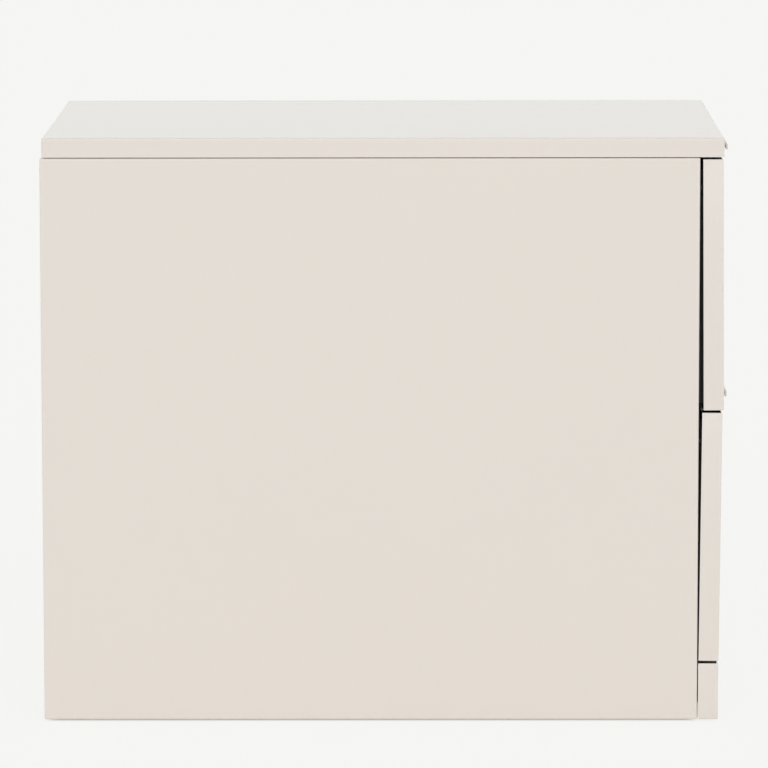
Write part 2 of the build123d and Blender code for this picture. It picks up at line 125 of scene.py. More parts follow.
class NodeWeb:
    """One node tree, shader or geometry, written as Python calls."""

    def __init__(self, tree: bpy.types.NodeTree) -> None:
        """Empty the tree."""
        self.tree = tree
        tree.nodes.clear()

    @classmethod
    def of(cls, owner: bpy.types.Material | bpy.types.World) -> "NodeWeb":
        """Open the tree of a material or world."""
        owner.use_nodes = True
        return cls(owner.node_tree)

    def node(self, kind: str, sockets: Sockets | None = None, **settings: object) -> bpy.types.Node:
        """Add a node: its settings first, then the values or links of its inputs.

        Args:
            kind: The node's type.
            sockets: Values or links by input name or number.
            settings: Properties of the node.

        Returns:
            The new node.
        """
        added = self.tree.nodes.new(kind)
        for name, value in settings.items():
            setattr(added, name, value)
        for key, value in (sockets or {}).items():
            self.feed(added.inputs[key], value)
        return added

    def feed(self, target: bpy.types.NodeSocket, value: Socketable) -> None:
        """Link an expression to an input, or set the input's own value.

        Args:
            target: The input.
            value: What goes into it.
        """
        if isinstance(value, Expr):
            self.tree.links.new(value.socket, target)
        else:
            target.default_value = value

    def outs(self, kind: str, sockets: Sockets | None = None, **settings: object) -> list[Expr]:
        """Add a node as node() does, and hand back its outputs."""
        return [Expr(self, socket) for socket in self.node(kind, sockets, **settings).outputs]

    def out(self, kind: str, sockets: Sockets | None = None, **settings: object) -> Expr:
        """Add a node as node() does, and hand back its first output."""
        return self.outs(kind, sockets, **settings)[0]

    def math(self, operation: str, *values: Expr | float) -> Expr:
        """Add one Math node."""
        return self.out("ShaderNodeMath", dict(enumerate(values)), operation=operation)

    def vector(self, *values: Expr | float) -> Expr:
        """Put three values together as a vector."""
        return self.out("ShaderNodeCombineXYZ", dict(enumerate(values)))

    def split(self, vector: Expr) -> list[Expr]:
        """Take a vector apart."""
        return self.outs("ShaderNodeSeparateXYZ", {0: vector})

    def place(self, space: str = "Object") -> Expr:
        """Where a surface is, in a space's coordinates."""
        return Expr(self, self.node("ShaderNodeTexCoord").outputs[space])

    def blend(self, share: Expr | float, first: Socketable, second: Socketable) -> Expr:
        """Mix two colours by the second one's share."""
        mixed = self.node("ShaderNodeMix", {0: share, 6: first, 7: second}, data_type="RGBA")
        return Expr(self, mixed.outputs[2])

    def mix(self, share: Expr, first: Expr, second: Expr) -> Expr:
        """Mix two shaders by the second one's share."""
        return self.out("ShaderNodeMixShader", {0: share, 1: first, 2: second})


def shown(name: str, data: bpy.types.ID) -> Piece:
    """Put an object into the scene.

    Args:
        name: Its name.
        data: Its mesh, lamp or lens.

    Returns:
        The object.
    """
    made = bpy.data.objects.new(name, data)
    bpy.context.scene.collection.objects.link(made)
    return made


def plain(piece: Piece) -> bpy.types.Mesh:
    """Turn what a piece's modifiers give into a plain mesh, and remove them.

    Args:
        piece: An object with live modifiers.

    Returns:
        The resulting mesh.
    """
    bpy.context.view_layer.update()
    graph = bpy.context.evaluated_depsgraph_get()
    result = piece.evaluated_get(graph)
    mesh = bpy.data.meshes.new_from_object(result, preserve_all_data_layers=True, depsgraph=graph)
    piece.modifiers.clear()
    return mesh


def solid(piece: Piece) -> Piece:
    """Give a piece its final mesh: modifiers applied, faces outwards, folds smooth, hard edges kept.

    Args:
        piece: An object whose modifiers give a closed mesh.

    Returns:
        The same object.
    """
    mesh = plain(piece)
    work = bmesh.new()
    work.from_mesh(mesh)
    bmesh.ops.dissolve_degenerate(work, dist=1e-7, edges=work.edges[:])
    bmesh.ops.recalc_face_normals(work, faces=work.faces[:])
    work.to_mesh(mesh)
    work.free()
    mesh.shade_smooth()
    mesh.set_sharp_from_angle(angle=SHARP_FOLD)
    spent = piece.data
    piece.data = mesh
    bpy.data.meshes.remove(spent)
    mesh.name = piece.name
    return piece


def raised(work: bmesh.types.BMesh, name: str, coating: "Coating | None" = None) -> Piece:
    """Turn a worked mesh into an object in the scene.

    Args:
        work: The mesh, which is freed.
        name: The object's name.
        coating: Its finish, if it has one.

    Returns:
        The object.
    """
    mesh = bpy.data.meshes.new(name)
    work.to_mesh(mesh)
    work.free()
    if coating is not None:
        mesh.materials.append(coating.paint())
    return shown(name, mesh)


def points_mesh(
    places: Sequence[Vector], headings: Sequence[Vector] = (), **numbers: Sequence[float]
) -> bpy.types.Mesh:
    """Loose points that a recipe builds on.

    Args:
        places: The points, in metres.
        headings: A direction for each point, kept as the attribute "heading".
        numbers: Further attributes, a number for each point.

    Returns:
        The mesh.
    """
    mesh = bpy.data.meshes.new("points")
    mesh.from_pydata([tuple(place) for place in places], [], [])
    if headings:
        held = mesh.attributes.new("heading", "FLOAT_VECTOR", "POINT")
        held.data.foreach_set("vector", [value for heading in headings for value in heading])
    for label, values in numbers.items():
        mesh.attributes.new(label, "FLOAT", "POINT").data.foreach_set("value", list(values))
    return mesh


class Recipe:
    """A Geometry Nodes tree with named sizes, run on a carrier and turned into a plain mesh."""

    def __init__(self, name: str) -> None:
        """Open an empty tree with geometry in and out.

        Args:
            name: The tree's name.
        """
        self.tree = bpy.data.node_groups.new(name, "GeometryNodeTree")
        self.tree.interface.new_socket("Piece", in_out="OUTPUT", socket_type="NodeSocketGeometry")
        self.web = NodeWeb(self.tree)
        self.entry = self.web.node("NodeGroupInput")
        self.values: dict[str, object] = {}
        self.carrier = self.given("carrier", "Geometry")

    def given(self, name: str, kind: str = "Float") -> Expr:
        """Add a named input of a socket's kind, such as Float, Vector or Material."""
        self.tree.interface.new_socket(name, in_out="INPUT", socket_type=f"NodeSocket{kind}")
        return Expr(self.web, self.entry.outputs[name])

    def sizes(self, maker: object, *names: str) -> list[Expr]:
        """Add an input for each size that a piece's maker has under that name."""
        self.values.update({name: getattr(maker, name) for name in names})
        return [self.given(name) for name in names]

    def finish(self, coating: "Coating") -> Expr:
        """Add an input for a finish."""
        self.values[coating.value.name] = coating.paint()
        return self.given(coating.value.name, "Material")

    def pick(self, index: Expr, kind: str, choices: Sequence[Socketable]) -> Expr:
        """Choose a value by number.

        Args:
            index: The number.
            kind: FLOAT or VECTOR.
            choices: What is chosen from.

        Returns:
            The choice, as a field.
        """
        switch = self.web.node("GeometryNodeIndexSwitch", data_type=kind)
        while len(switch.index_switch_items) < len(choices):
            switch.index_switch_items.new()
        for number, value in enumerate((index, *choices)):
            self.web.feed(switch.inputs[number], value)
        return Expr(self.web, switch.outputs[0])

    def attribute(self, name: str, kind: str) -> Expr:
        """A named attribute of the geometry."""
        return self.web.out("GeometryNodeInputNamedAttribute", {0: name}, data_type=kind)

    def stored(self, part: Expr, name: str, value: Socketable, kind: str, domain: str) -> Expr:
        """Keep a value on geometry as a named attribute."""
        sockets = {"Geometry": part, "Name": name, "Value": value}
        return self.web.out("GeometryNodeStoreNamedAttribute", sockets, data_type=kind, domain=domain)

    def marked(self, part: Expr, name: str) -> Expr:
        """Mark a part's faces with a named attribute, so that a second finish finds them."""
        return self.stored(part, name, True, "BOOLEAN", "FACE")

    def wrapped(
        self,
        columns: int,
        rows: int,
        place: Callable[[Expr, Expr], Expr],
        marks: Callable[[Expr, Expr], Expr] | None = None,
    ) -> Expr:
        """Bend a grid round into a skin, from each point's column and row.

        Args:
            columns: Points around, the last on top of the first.
            rows: Points along the section.
            place: Gives a point's place from its column and row.
            marks: Gives the bend mark of a point, if the skin has one.

        Returns:
            The skin's geometry.
        """
        grid = self.web.out("GeometryNodeMeshGrid", {"Vertices X": columns, "Vertices Y": rows})
        number = self.web.out("GeometryNodeInputIndex")
        column = ((number + 0.5) / rows).math("FLOOR")
        row = number - column * rows
        if marks is not None:
            grid = self.stored(grid, "bend", marks(column, row), "FLOAT", "POINT")
        return self.web.out("GeometryNodeSetPosition", {"Geometry": grid, "Position": place(column, row)})

    def turned(
        self,
        around: int,
        section: Sequence[tuple[Expr | float, Expr | float]],
        flute: Callable[[Expr, Expr], Expr] | None = None,
    ) -> Expr:
        """A turned piece about Z from radius and height pairs.

        Args:
            around: Points round the piece.
            section: Radius and height of each row.
            flute: Gives the share of the radius that is left, from a point's angle and row.

        Returns:
            The piece's geometry, its poles closed.
        """
        pairs = [self.web.vector(radius, 0.0, height) for radius, height in section]

        def place(column: Expr, row: Expr) -> Expr:
            """Turn a row's radius and height by the column's angle.

            Args:
                column: Its number around.
                row: Its number along the section.

            Returns:
                The point.
            """
            radius, _, height = self.web.split(self.pick(row, "VECTOR", pairs))
            angle = column * (2 * math.pi / around)
            if flute is not None:
                radius = radius * flute(angle, row)
            return self.web.vector(radius * angle.math("COSINE"), radius * angle.math("SINE"), height)

        return self.closed(self.wrapped(around + 1, len(section), place))

    def joined(self, *parts: Expr) -> Expr:
        """Join geometry, the first part first.

        Args:
            parts: What is joined.

        Returns:
            The joined geometry.
        """
        join = self.web.node("GeometryNodeJoinGeometry")
        for part in reversed(parts):
            self.web.feed(join.inputs[0], part)
        return Expr(self.web, join.outputs[0])

    def closed(self, *skins: Expr, within: float = 0.004 * MM) -> Expr:
        """Join skins and merge the points that meet within a distance."""
        sockets = {"Geometry": self.joined(*skins), "Distance": within}
        return self.web.out("GeometryNodeMergeByDistance", sockets)

    def block(self, *size: Expr | float) -> Expr:
        """A square block about the origin."""
        return self.web.out("GeometryNodeMeshCube", {"Size": self.web.vector(*size)})

    def moved(self, part: Expr, shift: Socketable, turn: Socketable = (0.0, 0.0, 0.0)) -> Expr:
        """Turn a part and shift it."""
        sockets = {"Geometry": part, "Translation": shift, "Rotation": turn}
        return self.web.out("GeometryNodeTransform", sockets)

    def spread(self, points: Expr, part: Expr, headed: bool = False, tall: str = "") -> Expr:
        """Stand a part on every point.

        Args:
            points: The points.
            part: What stands on them.
            headed: Whether the part's Z follows the points' headings.
            tall: Name of the points' attribute that stretches the part along Z, if any.

        Returns:
            The instances.
        """
        sockets: Sockets = {"Points": points, "Instance": part}
        if headed:
            heading = {"Vector": self.attribute("heading", "FLOAT_VECTOR")}
            sockets["Rotation"] = self.web.out("FunctionNodeAlignRotationToVector", heading, axis="Z")
        if tall:
            sockets["Scale"] = self.web.vector(1.0, 1.0, self.attribute(tall, "FLOAT"))
        return self.web.out("GeometryNodeInstanceOnPoints", sockets)

    def serve(self, piece: Expr, finish: Expr, **others: Expr) -> "Recipe":
        """End the tree: instances made real, then the finishes set.

        Args:
            piece: What the tree has built.
            finish: The finish of all that isn't marked.
            others: Further finishes, by the mark of the faces that take them.

        Returns:
            The recipe.
        """
        real = self.web.out("GeometryNodeRealizeInstances", {0: piece})
        real = self.web.out("GeometryNodeSetMaterial", {"Geometry": real, "Material": finish})
        for mark, other in others.items():
            faces = self.attribute(mark, "BOOLEAN")
            sockets = {"Geometry": real, "Selection": faces, "Material": other}
            real = self.web.out("GeometryNodeSetMaterial", sockets)
        self.web.node("NodeGroupOutput", {0: real})
        return self

    def make(self, name: str, carrier: bpy.types.Mesh | None = None, **values: object) -> Piece:
        """Run the tree and keep its result as a plain mesh.

        Args:
            name: The piece's name.
            carrier: Points that the tree builds on, if it needs them.
            values: Values of the inputs that are this piece's own.

        Returns:
            The finished piece, at the origin.
        """
        piece = shown(name, carrier or bpy.data.meshes.new(name))
        modifier = piece.modifiers.new("recipe", "NODES")
        modifier.node_group = self.tree
        values = {**self.values, **values}
        for item in self.tree.interface.items_tree:
            if item.in_out == "INPUT" and item.name in values:
                modifier[item.identifier] = values[item.name]
        return solid(piece)


@dataclass(frozen=True)
class Finish:
    """A surface finish that makes its material once, and the record's slot that it belongs to."""

    name: str
    slot: str
    colour: Colour

    def material(self) -> bpy.types.Material:
        """Make the material, or hand back the one that was made.

        Returns:
            The material.
        """
        made = bpy.data.materials.get(self.name)
        if made is None:
            made = bpy.data.materials.new(self.name)
            web = NodeWeb.of(made)
            shader = web.out("ShaderNodeBsdfPrincipled", self.lay(web))
            web.node("ShaderNodeOutputMaterial", {"Surface": shader})
        return made

    def lay(self, web: NodeWeb) -> Sockets:
        """Give the shader's inputs; each kind of finish has its own way."""
        raise NotImplementedError

    @staticmethod
    def noise(web: NodeWeb, scale: float, detail: float, stretch: Sequence[float] = (1.0, 1.0, 1.0)) -> Expr:
        """Noise on the object's own coordinates: waves to the metre, octaves, stretch along the axes."""
        place = web.out("ShaderNodeMapping", {"Vector": web.place(), "Scale": tuple(stretch)})
        return web.out("ShaderNodeTexNoise", {"Vector": place, "Scale": scale, "Detail": detail})

    @staticmethod
    def bump(web: NodeWeb, height: Expr, depth: float, strength: float) -> Expr:
        """A normal bent by a height, given as a share of a depth in metres."""
        return web.out("ShaderNodeBump", {"Strength": strength, "Distance": depth, "Height": height})


@dataclass(frozen=True)
class PowderCoat(Finish):
    """Baked powder on steel: orange peel, fine grain, a little thinner where the sheet is folded, and lighter
    there, partly rubbed wear and partly a painted highlight.
    """

    roughness: float = 0.5
    peel: float = 0.03 * MM
    grain: float = 0.035
    # Share of the lighter tone on the folds: rubbed wear and a painted highlight.
    rub_and_highlight: float = 0.22
    gloss: float = 0.0

    def lay(self, web: NodeWeb) -> Sockets:
        """Lay the powder on.

        Args:
            web: The material's tree.

        Returns:
            The shader's inputs.
        """
        cloud = self.noise(web, 2.3, 3.0)
        speck = self.noise(web, 1900.0, 1.0)
        peel = self.noise(web, 420.0, 2.0)
        chafe_and_highlight = self.noise(web, 85.0, 4.0).ramp(0.45, 0.7)
        fold = Expr(web, web.node("ShaderNodeAttribute", attribute_name="bend").outputs["Fac"])
        dark, light = (toned(self.colour, 1 + grain) for grain in (-self.grain, self.grain))
        tone = web.blend(0.5 * cloud + 0.5 * speck, dark, light)
        # Folds blend towards a lighter tone: partly rubbed wear, partly a painted highlight along the edges.
        worn_and_highlight_tone = toned(self.colour, 0.25, 0.68)
        rough = self.roughness + 0.10 * (speck - 0.5) + 0.08 * (cloud - 0.5) - 0.12 * fold
        return {
            "Base Color": web.blend(fold * chafe_and_highlight * self.rub_and_highlight, tone, worn_and_highlight_tone),
            "Roughness": rough,
            "Coat Weight": self.gloss,
            "Coat Roughness": 0.12,
            "Normal": self.bump(web, 0.75 * peel + 0.25 * speck, self.peel, 0.5),
        }


@dataclass(frozen=True)
class ZincPlate(Finish):
    """Zinc-plated rolled steel: faint crystals, drawn streaks and a few rubbed places."""

    roughness: float = 0.34
    streak: tuple[float, float, float] = (900.0, 14.0, 900.0)
    crystal: float = 230.0

    def lay(self, web: NodeWeb) -> Sockets:
        """Plate the steel.

        Args:
            web: The material's tree.

        Returns:
            The shader's inputs.
        """
        cells = web.node("ShaderNodeTexVoronoi", {"Vector": web.place(), "Scale": self.crystal})
        tint = web.out("ShaderNodeSeparateColor", {0: Expr(web, cells.outputs["Color"])})
        drawn = self.noise(web, 1.0, 3.0, self.streak)
        haze = self.noise(web, 22.0, 4.0)
        tone = web.blend(0.25 * tint + 0.75 * drawn, toned(self.colour, 0.72), self.colour)
        red, green, blue, _ = self.colour
        warm = (0.93 * red, 0.9 * green, 0.8 * blue, 1.0)
        return {
            "Base Color": web.blend(0.3 * haze.ramp(0.5, 0.8), tone, warm),
            "Metallic": 1.0,
            "Roughness": self.roughness + 0.16 * (drawn - 0.5) + 0.12 * (haze - 0.5) + 0.05 * tint,
            "Normal": self.bump(web, drawn, 0.02 * MM, 0.35),
        }


@dataclass(frozen=True)
class PolishedSteel(Finish):
    """Hardened balls: bright, with the haze of old grease and fine scuffs."""

    grease: Colour = (0.42, 0.37, 0.27, 1.0)

    def lay(self, web: NodeWeb) -> Sockets:
        """Polish the steel.

        Args:
            web: The material's tree.

        Returns:
            The shader's inputs.
        """
        film = self.noise(web, 260.0, 4.0)
        scuff = self.noise(web, 2600.0, 2.0).ramp(0.55, 0.75)
        return {
            "Base Color": web.blend(0.4 * film.ramp(0.5, 0.75), self.colour, self.grease),
            "Metallic": 1.0,
            "Roughness": 0.09 + 0.16 * film + 0.1 * scuff,
        }


@dataclass(frozen=True)
class Moulding(Finish):
    """Black rubber or moulded polymer: spark grain, dust and scuffs that show grey."""

    roughness: float
    grain: float
    depth: float
    scuffed: Colour = (0.16, 0.155, 0.15, 1.0)

    def lay(self, web: NodeWeb) -> Sockets:
        """Mould the surface.

        Args:
            web: The material's tree.

        Returns:
            The shader's inputs.
        """
        spark = self.noise(web, self.grain, 2.0)
        dust = self.noise(web, 130.0, 5.0).ramp(0.52, 0.78)
        return {
            "Base Color": web.blend(0.35 * dust, self.colour, self.scuffed),
            "Roughness": self.roughness + 0.2 * (spark - 0.5) + 0.15 * dust,
            "Normal": self.bump(web, spark, self.depth, 0.6),
        }


class Coating(Enum):
    """The cabinet's finishes, each for one of the record's material slots."""

    CASE = PowderCoat(
        "off_white_powder", "case_paint", linear(231, 223, 215), 0.2, grain=0.02, rub_and_highlight=0.05, gloss=0.5
    )
    # Charcoal inside and drawer paint: a two-tone finish, chosen dark partly as painted shade, so the gaps
    # round the drawer fronts read dark.
    INSIDE = PowderCoat(
        "charcoal_frame_powder", "case_inside_paint", linear(61, 61, 63), 0.5, 0.11 * MM, 0.12
    )
    DRAWER = PowderCoat("charcoal_drawer_powder", "drawer_paint", linear(66, 66, 68), 0.44, 0.1 * MM, 0.1)
    # The pull's paint is the case paint made darker: painted shade for the shade that falls on the pull.
    PULL = PowderCoat("pull_powder_painted_shade", "pull_paint", linear(213, 205, 197), 0.4, 0.025 * MM, 0.03, 0.5)
    SLIDE = ZincPlate("rolled_zinc", "zinc_slide", (0.66, 0.68, 0.70, 1.0))
    FASTENER = ZincPlate(
        "barrel_zinc", "zinc_fastener", (0.60, 0.61, 0.63, 1.0), 0.3, (700.0, 700.0, 700.0), 260.0
    )
    BALL = PolishedSteel("greased_balls", "polished_ball", (0.74, 0.75, 0.76, 1.0))
    RUBBER = Moulding(
        "bumper_rubber", "black_rubber", (0.022, 0.022, 0.022, 1.0), 0.72, 1500.0, 0.05 * MM
    )
    POLYMER = Moulding(
        "glide_polymer", "foot_polymer", (0.035, 0.035, 0.038, 1.0), 0.48, 900.0, 0.04 * MM
    )

    def paint(self) -> bpy.types.Material:
        """The finish's material."""
        return self.value.material()

    def dress(self, *nodes: str) -> None:
        """Give this finish to CAD nodes whose shape stays.

        Args:
            nodes: The nodes' names.
        """
        for node in nodes:
            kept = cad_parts[node]
            if not kept.material_slots:
                kept.data.materials.append(self.paint())
            for held in kept.material_slots:
                held.material = self.paint()
            log.info("%s keeps its CAD shape, finish %s", node, self.value.name)


def settle(piece: Piece, body: str, coating: Coating, *nodes: str) -> None:
    """Put a finished piece on its body in place of CAD nodes.

    Args:
        piece: The finished piece.
        body: The body it moves with.
        coating: Its main finish; not used.
        nodes: The CAD nodes it stands for.
    """
    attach(piece, body)
    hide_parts(*nodes)
    log.info("%s rides on %s, %d faces", piece.name, body, len(piece.data.polygons))


@dataclass
class PanFolder:
    """Folds sheet pans: a face outwards, rims bent back to a plane, lips turned in there."""

    sheet: float = SHEET
    bend: float = BEND
    steps: int = 5
    hold: float = 0.6 * MM
    weld: float = 0.02 * MM
    recipe: Recipe | None = None

    def rows(self, depth: Expr, lip: Expr, sheet: Expr, bend: Expr) -> list[tuple[Expr | float, ...]]:
        """The rim's section, from the face round the folded edge to the inside.

        Args:
            depth: The pan's depth.
            lip: How far its lips reach in.
            sheet: The sheet's thickness.
            bend: Outer radius of the folds.

        Returns:
            For each row, how far the corners' centres are set in, the corners' radius, and the height.
        """
        inside = bend - sheet
        turns = [QUARTER * n / self.steps for n in range(self.steps + 1)]
        centre = depth - bend
        rows = [(bend + self.hold, 0.0, depth)]
        rows += [(bend, bend * math.sin(turn), centre + bend * math.cos(turn)) for turn in turns]
        rows += [(bend, bend, centre - self.hold), (bend, bend, 0.0)]
        rows += [(bend + lip, inside, 0.0), (bend + lip, inside, sheet), (bend, inside, sheet)]
        rows += [(bend, inside, centre - self.hold)]
        rows += [(bend, inside * math.cos(turn), centre + inside * math.sin(turn)) for turn in turns]
        return rows + [(bend + self.hold, 0.0, depth - sheet)]

    def write(self) -> Recipe:
        """Write the pan's tree.

        Returns:
            The recipe, with the pan's sizes as inputs.
        """
        recipe = Recipe("folded_pan")
        web = recipe.web
        sheet, bend = recipe.sizes(self, "sheet", "bend")
        width, height, depth, lip = (recipe.given(name) for name in ("width", "height", "depth", "lip"))
        origin, turn = recipe.given("origin", "Vector"), recipe.given("turn", "Rotation")
        rows = self.rows(depth, lip, sheet, bend)
        section = [web.vector(*row) for row in rows]
        around = self.steps + 1
        last_rim = self.steps + 3
        turned = {n: math.sin(math.pi * (n - 1) / self.steps) for n in range(1, around + 1)}
        folds = [turned.get(n, 0.0) for n in range(len(rows))]
        rims = [1.0 if around <= n <= last_rim else 0.0 for n in range(len(rows))]

        def corner(column: Expr) -> tuple[Expr, Expr]:
            """Number of the corner that a column belongs to, and its step there."""
            number = ((column + 0.5) / around).math("FLOOR")
            return number, column - number * around

        def place(column: Expr, row: Expr) -> Expr:
            """Place a point of the rim.

            Args:
                column: Its number around.
                row: Its number along the section.

            Returns:
                The point.
            """
            number, step = corner(column)
            inset, radius, level = web.split(recipe.pick(row, "VECTOR", section))
            middle = (number + 0.5) * QUARTER
            angle = (number + step / self.steps) * QUARTER
            x, y = (
                middle.math(way).math("SIGN") * (size * 0.5 - inset) + radius * angle.math(way)
                for way, size in (("COSINE", width), ("SINE", height))
            )
            return web.vector(x, y, level)

        def marks(column: Expr, row: Expr) -> Expr:
            """One along the middle of a fold, nought on the flats."""
            across = (corner(column)[1] * (math.pi / self.steps)).math("SINE")
            return recipe.pick(row, "FLOAT", folds).greatest(across * recipe.pick(row, "FLOAT", rims))

        rim = recipe.wrapped(4 * around + 1, len(rows), place, marks)
        inset = 2.0 * (bend + self.hold)
        flat = {"Size X": width - inset, "Size Y": height - inset, "Vertices X": 2, "Vertices Y": 2}
        face = web.out("GeometryNodeMeshGrid", flat)
        faces = [recipe.moved(face, web.vector(0.0, 0.0, rows[n][2])) for n in (0, -1)]
        pan = recipe.moved(recipe.closed(rim, *faces, within=self.weld), origin, turn)
        return recipe.serve(pan, recipe.finish(Coating.CASE))

    def fold(
        self,
        name: str,
        size: Sequence[float],
        origin: Vector,
        across: Vector,
        outwards: Vector,
        lip: float = 0.0,
        cuts: Sequence[Block] = (),
    ) -> Piece:
        """Fold one pan.

        Args:
            name: The piece's name.
            size: Width, height and depth.
            origin: Middle of the plane that the rims reach back to.
            across: Direction of the width.
            outwards: Direction that the face looks.
            lip: How far the lips reach in.
            cuts: Blocks cut off it, by two corners each: across, up and outwards from the origin.

        Returns:
            The pan.
        """
        self.recipe = self.recipe or self.write()
        turn = Matrix((across, outwards.cross(across), outwards)).transposed().to_euler()
        sizes = dict(zip(("width", "height", "depth"), size))
        pan = self.recipe.make(name, **sizes, lip=lip, origin=tuple(origin), turn=tuple(turn))
        return self.trim(pan, Matrix.LocRotScale(origin, turn, None), cuts) if cuts else pan

    @staticmethod
    def trim(pan: Piece, place: Matrix, cuts: Sequence[Block]) -> Piece:
        """Cut blocks off a pan.

        Args:
            pan: The folded pan.
            place: Its own frame.
            cuts: Two corners of each block in that frame.

        Returns:
            The trimmed pan.
        """
        work = bmesh.new()
        for low, high in cuts:
            block = Matrix.LocRotScale((low + high) / 2, None, high - low)
            bmesh.ops.create_cube(work, size=1.0, matrix=place @ block)
        cutter = raised(work, "cutter")
        cut = pan.modifiers.new("trim", "BOOLEAN")
        cut.object, cut.operation, cut.solver = cutter, "DIFFERENCE", "EXACT"
        solid(pan)
        bpy.data.objects.remove(cutter)
        return pan


@dataclass
class Fasteners:
    """Screws, rivets and bumpers that stand on given points."""

    head_radius: float = 3.6 * MM
    head_height: float = 1.8 * MM
    shank_radius: float = 2.0 * MM
    screw_grip: float = 3.0 * MM
    slot_width: float = 0.8 * MM
    slot_length: float = 3.6 * MM
    slot_depth: float = 1.0 * MM
    slot_over: float = 0.4 * MM
    threads: int = 4
    threaded: float = 0.8
    rivet_head: float = 3.5 * MM
    rivet_height: float = 1.4 * MM
    rivet_grip: float = 2.2 * MM
    bumper_radius: float = 4.0 * MM
    screws: Recipe | None = None

    def write_screw(self) -> Recipe:
        """Write the tree of a pan-head screw with a cross recess, on every point.

        Returns:
            The recipe.
        """
        recipe = Recipe("pan_head_screws")
        web = recipe.web
        radius, tall, shank = recipe.sizes(self, "head_radius", "head_height", "shank_radius")
        width, reach, sunk = recipe.sizes(self, "slot_width", "slot_length", "slot_depth")
        length = recipe.given("shank_length")
        dome = [(0.0, 1.0), (0.5, 0.97), (0.76, 0.86), (0.92, 0.66), (1.0, 0.4), (1.0, 0.08), (0.97, 0.0)]
        section = [(radius * r, tall * z) for r, z in dome] + [(shank, 0.0)]
        pitch = self.threaded / self.threads
        for turn in range(self.threads):
            thread = ((1.0, 0.5), (0.8, 0.75), (1.0, 1.0))
            section += [(shank * r, length * (-pitch * (turn + z))) for r, z in thread]
        section += [(shank * 0.75, length * -0.9), (0.0, length * -1.0)]
        sockets = {"Mesh 1": recipe.turned(20, section)}
        cut = web.node("GeometryNodeMeshBoolean", sockets, operation="DIFFERENCE", solver="EXACT")
        level = web.vector(0.0, 0.0, tall - 0.5 * sunk + 0.5 * self.slot_over)
        for size in ((reach, width), (width, reach)):
            arm = recipe.moved(recipe.block(*size, sunk + self.slot_over), level)
            web.feed(cut.inputs["Mesh 2"], arm)
        screws = recipe.spread(recipe.carrier, Expr(web, cut.outputs["Mesh"]), headed=True)
        return recipe.serve(screws, recipe.finish(Coating.FASTENER))

    def write_rivet(self) -> Recipe:
        """Write the tree of a rivet, its outer end rolled flush and its head inside, on every point.

        Returns:
            The recipe.
        """
        recipe = Recipe("pull_rivets")
        names = ("shank_radius", "rivet_grip", "rivet_head", "rivet_height")
        shank, grip, radius, tall = recipe.sizes(self, *names)
        rolled = [(0.0, 0.5), (0.4, 0.5), (0.52, 0.06), (0.62, 0.0), (0.85, 0.0), (1.0, 0.2)]
        section = [(shank * r, grip - z * MM) for r, z in rolled] + [(shank, 0.0), (radius, 0.0)]
        section += [(radius * r, tall * -z) for r, z in ((1.0, 0.3), (0.9, 0.66), (0.6, 0.93), (0.0, 1.0))]
        rivets = recipe.spread(recipe.carrier, recipe.turned(24, section), headed=True)
        return recipe.serve(rivets, recipe.finish(Coating.PULL))

    def write_bumper(self) -> Recipe:
        """Write the tree of a rubber disc with rounded edges and a moulding dimple, on every point.

        Returns:
            The recipe.
        """
        recipe = Recipe("drawer_bumpers")
        (radius,) = recipe.sizes(self, "bumper_radius")
        shares = [(0.0, 0.0), (1.0, 0.0), (1.0, 0.62), (0.97, 0.8), (0.9, 0.93), (0.78, 1.0)]
        shares += [(0.34, 1.0), (0.28, 0.97), (0.24, 0.86), (0.0, 0.84)]
        disc = recipe.turned(28, [(radius * r, z) for r, z in shares])
        discs = recipe.spread(recipe.carrier, disc, headed=True, tall="tall")
        return recipe.serve(discs, recipe.finish(Coating.RUBBER))

    def screw(self, name: str, seats: Sequence[Vector], headings: Sequence[Vector], held: float) -> Piece:
        """Drive screws.

        Args:
            name: The piece's name.
            seats: Where the heads bear.
            headings: Which way the heads look.
            held: Thickness of the sheets that they hold.

        Returns:
            The screws, as one piece.
        """
        self.screws = self.screws or self.write_screw()
        return self.screws.make(name, points_mesh(seats, headings), shank_length=held + self.screw_grip)

    def rivet(self, name: str, places: Sequence[Vector], up: Vector) -> Piece:
        """Set rivets on the underside of what they hold, their flush ends up."""
        return self.write_rivet().make(name, points_mesh(places, [up] * len(places)))

    def bumper(self, name: str, places: Sequence[Vector], heights: Sequence[float]) -> Piece:
        """Stick bumpers on, each as thick as its height."""
        return self.write_bumper().make(name, points_mesh(places, [FRONT] * len(places), tall=heights))


@dataclass(frozen=True)
class Layout:
    """Where the cabinet's sheets stand, in metres: X across, drawers open to -Y, floor at 0."""

    half_width: float
    side_front: float
    side_back: float
    side_top: float
    return_width: float
    kick_back: float
    front_thickness: float
    slide_mount: float
    slide_middle: float

    @classmethod
    def measured(cls) -> "Layout":
        """Read the places off the CAD nodes' boxes.

        Returns:
            The layout.
        """
        nodes = ("right_side_panel", "kick_plate", "top_right_outer_rail")
        (side, side_end), (kick, kick_end), (rail, rail_end) = (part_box(node) for node in nodes)
        return cls(
            half_width=side_end.x,
            side_front=side.y,
            side_back=side_end.y,
            side_top=side_end.z,
            return_width=side_end.x - side.x,
            kick_back=kick_end.y,
            front_thickness=kick_end.y - kick.y,
            slide_mount=rail_end.x,
            slide_middle=(rail.y + rail_end.y) / 2,
        )


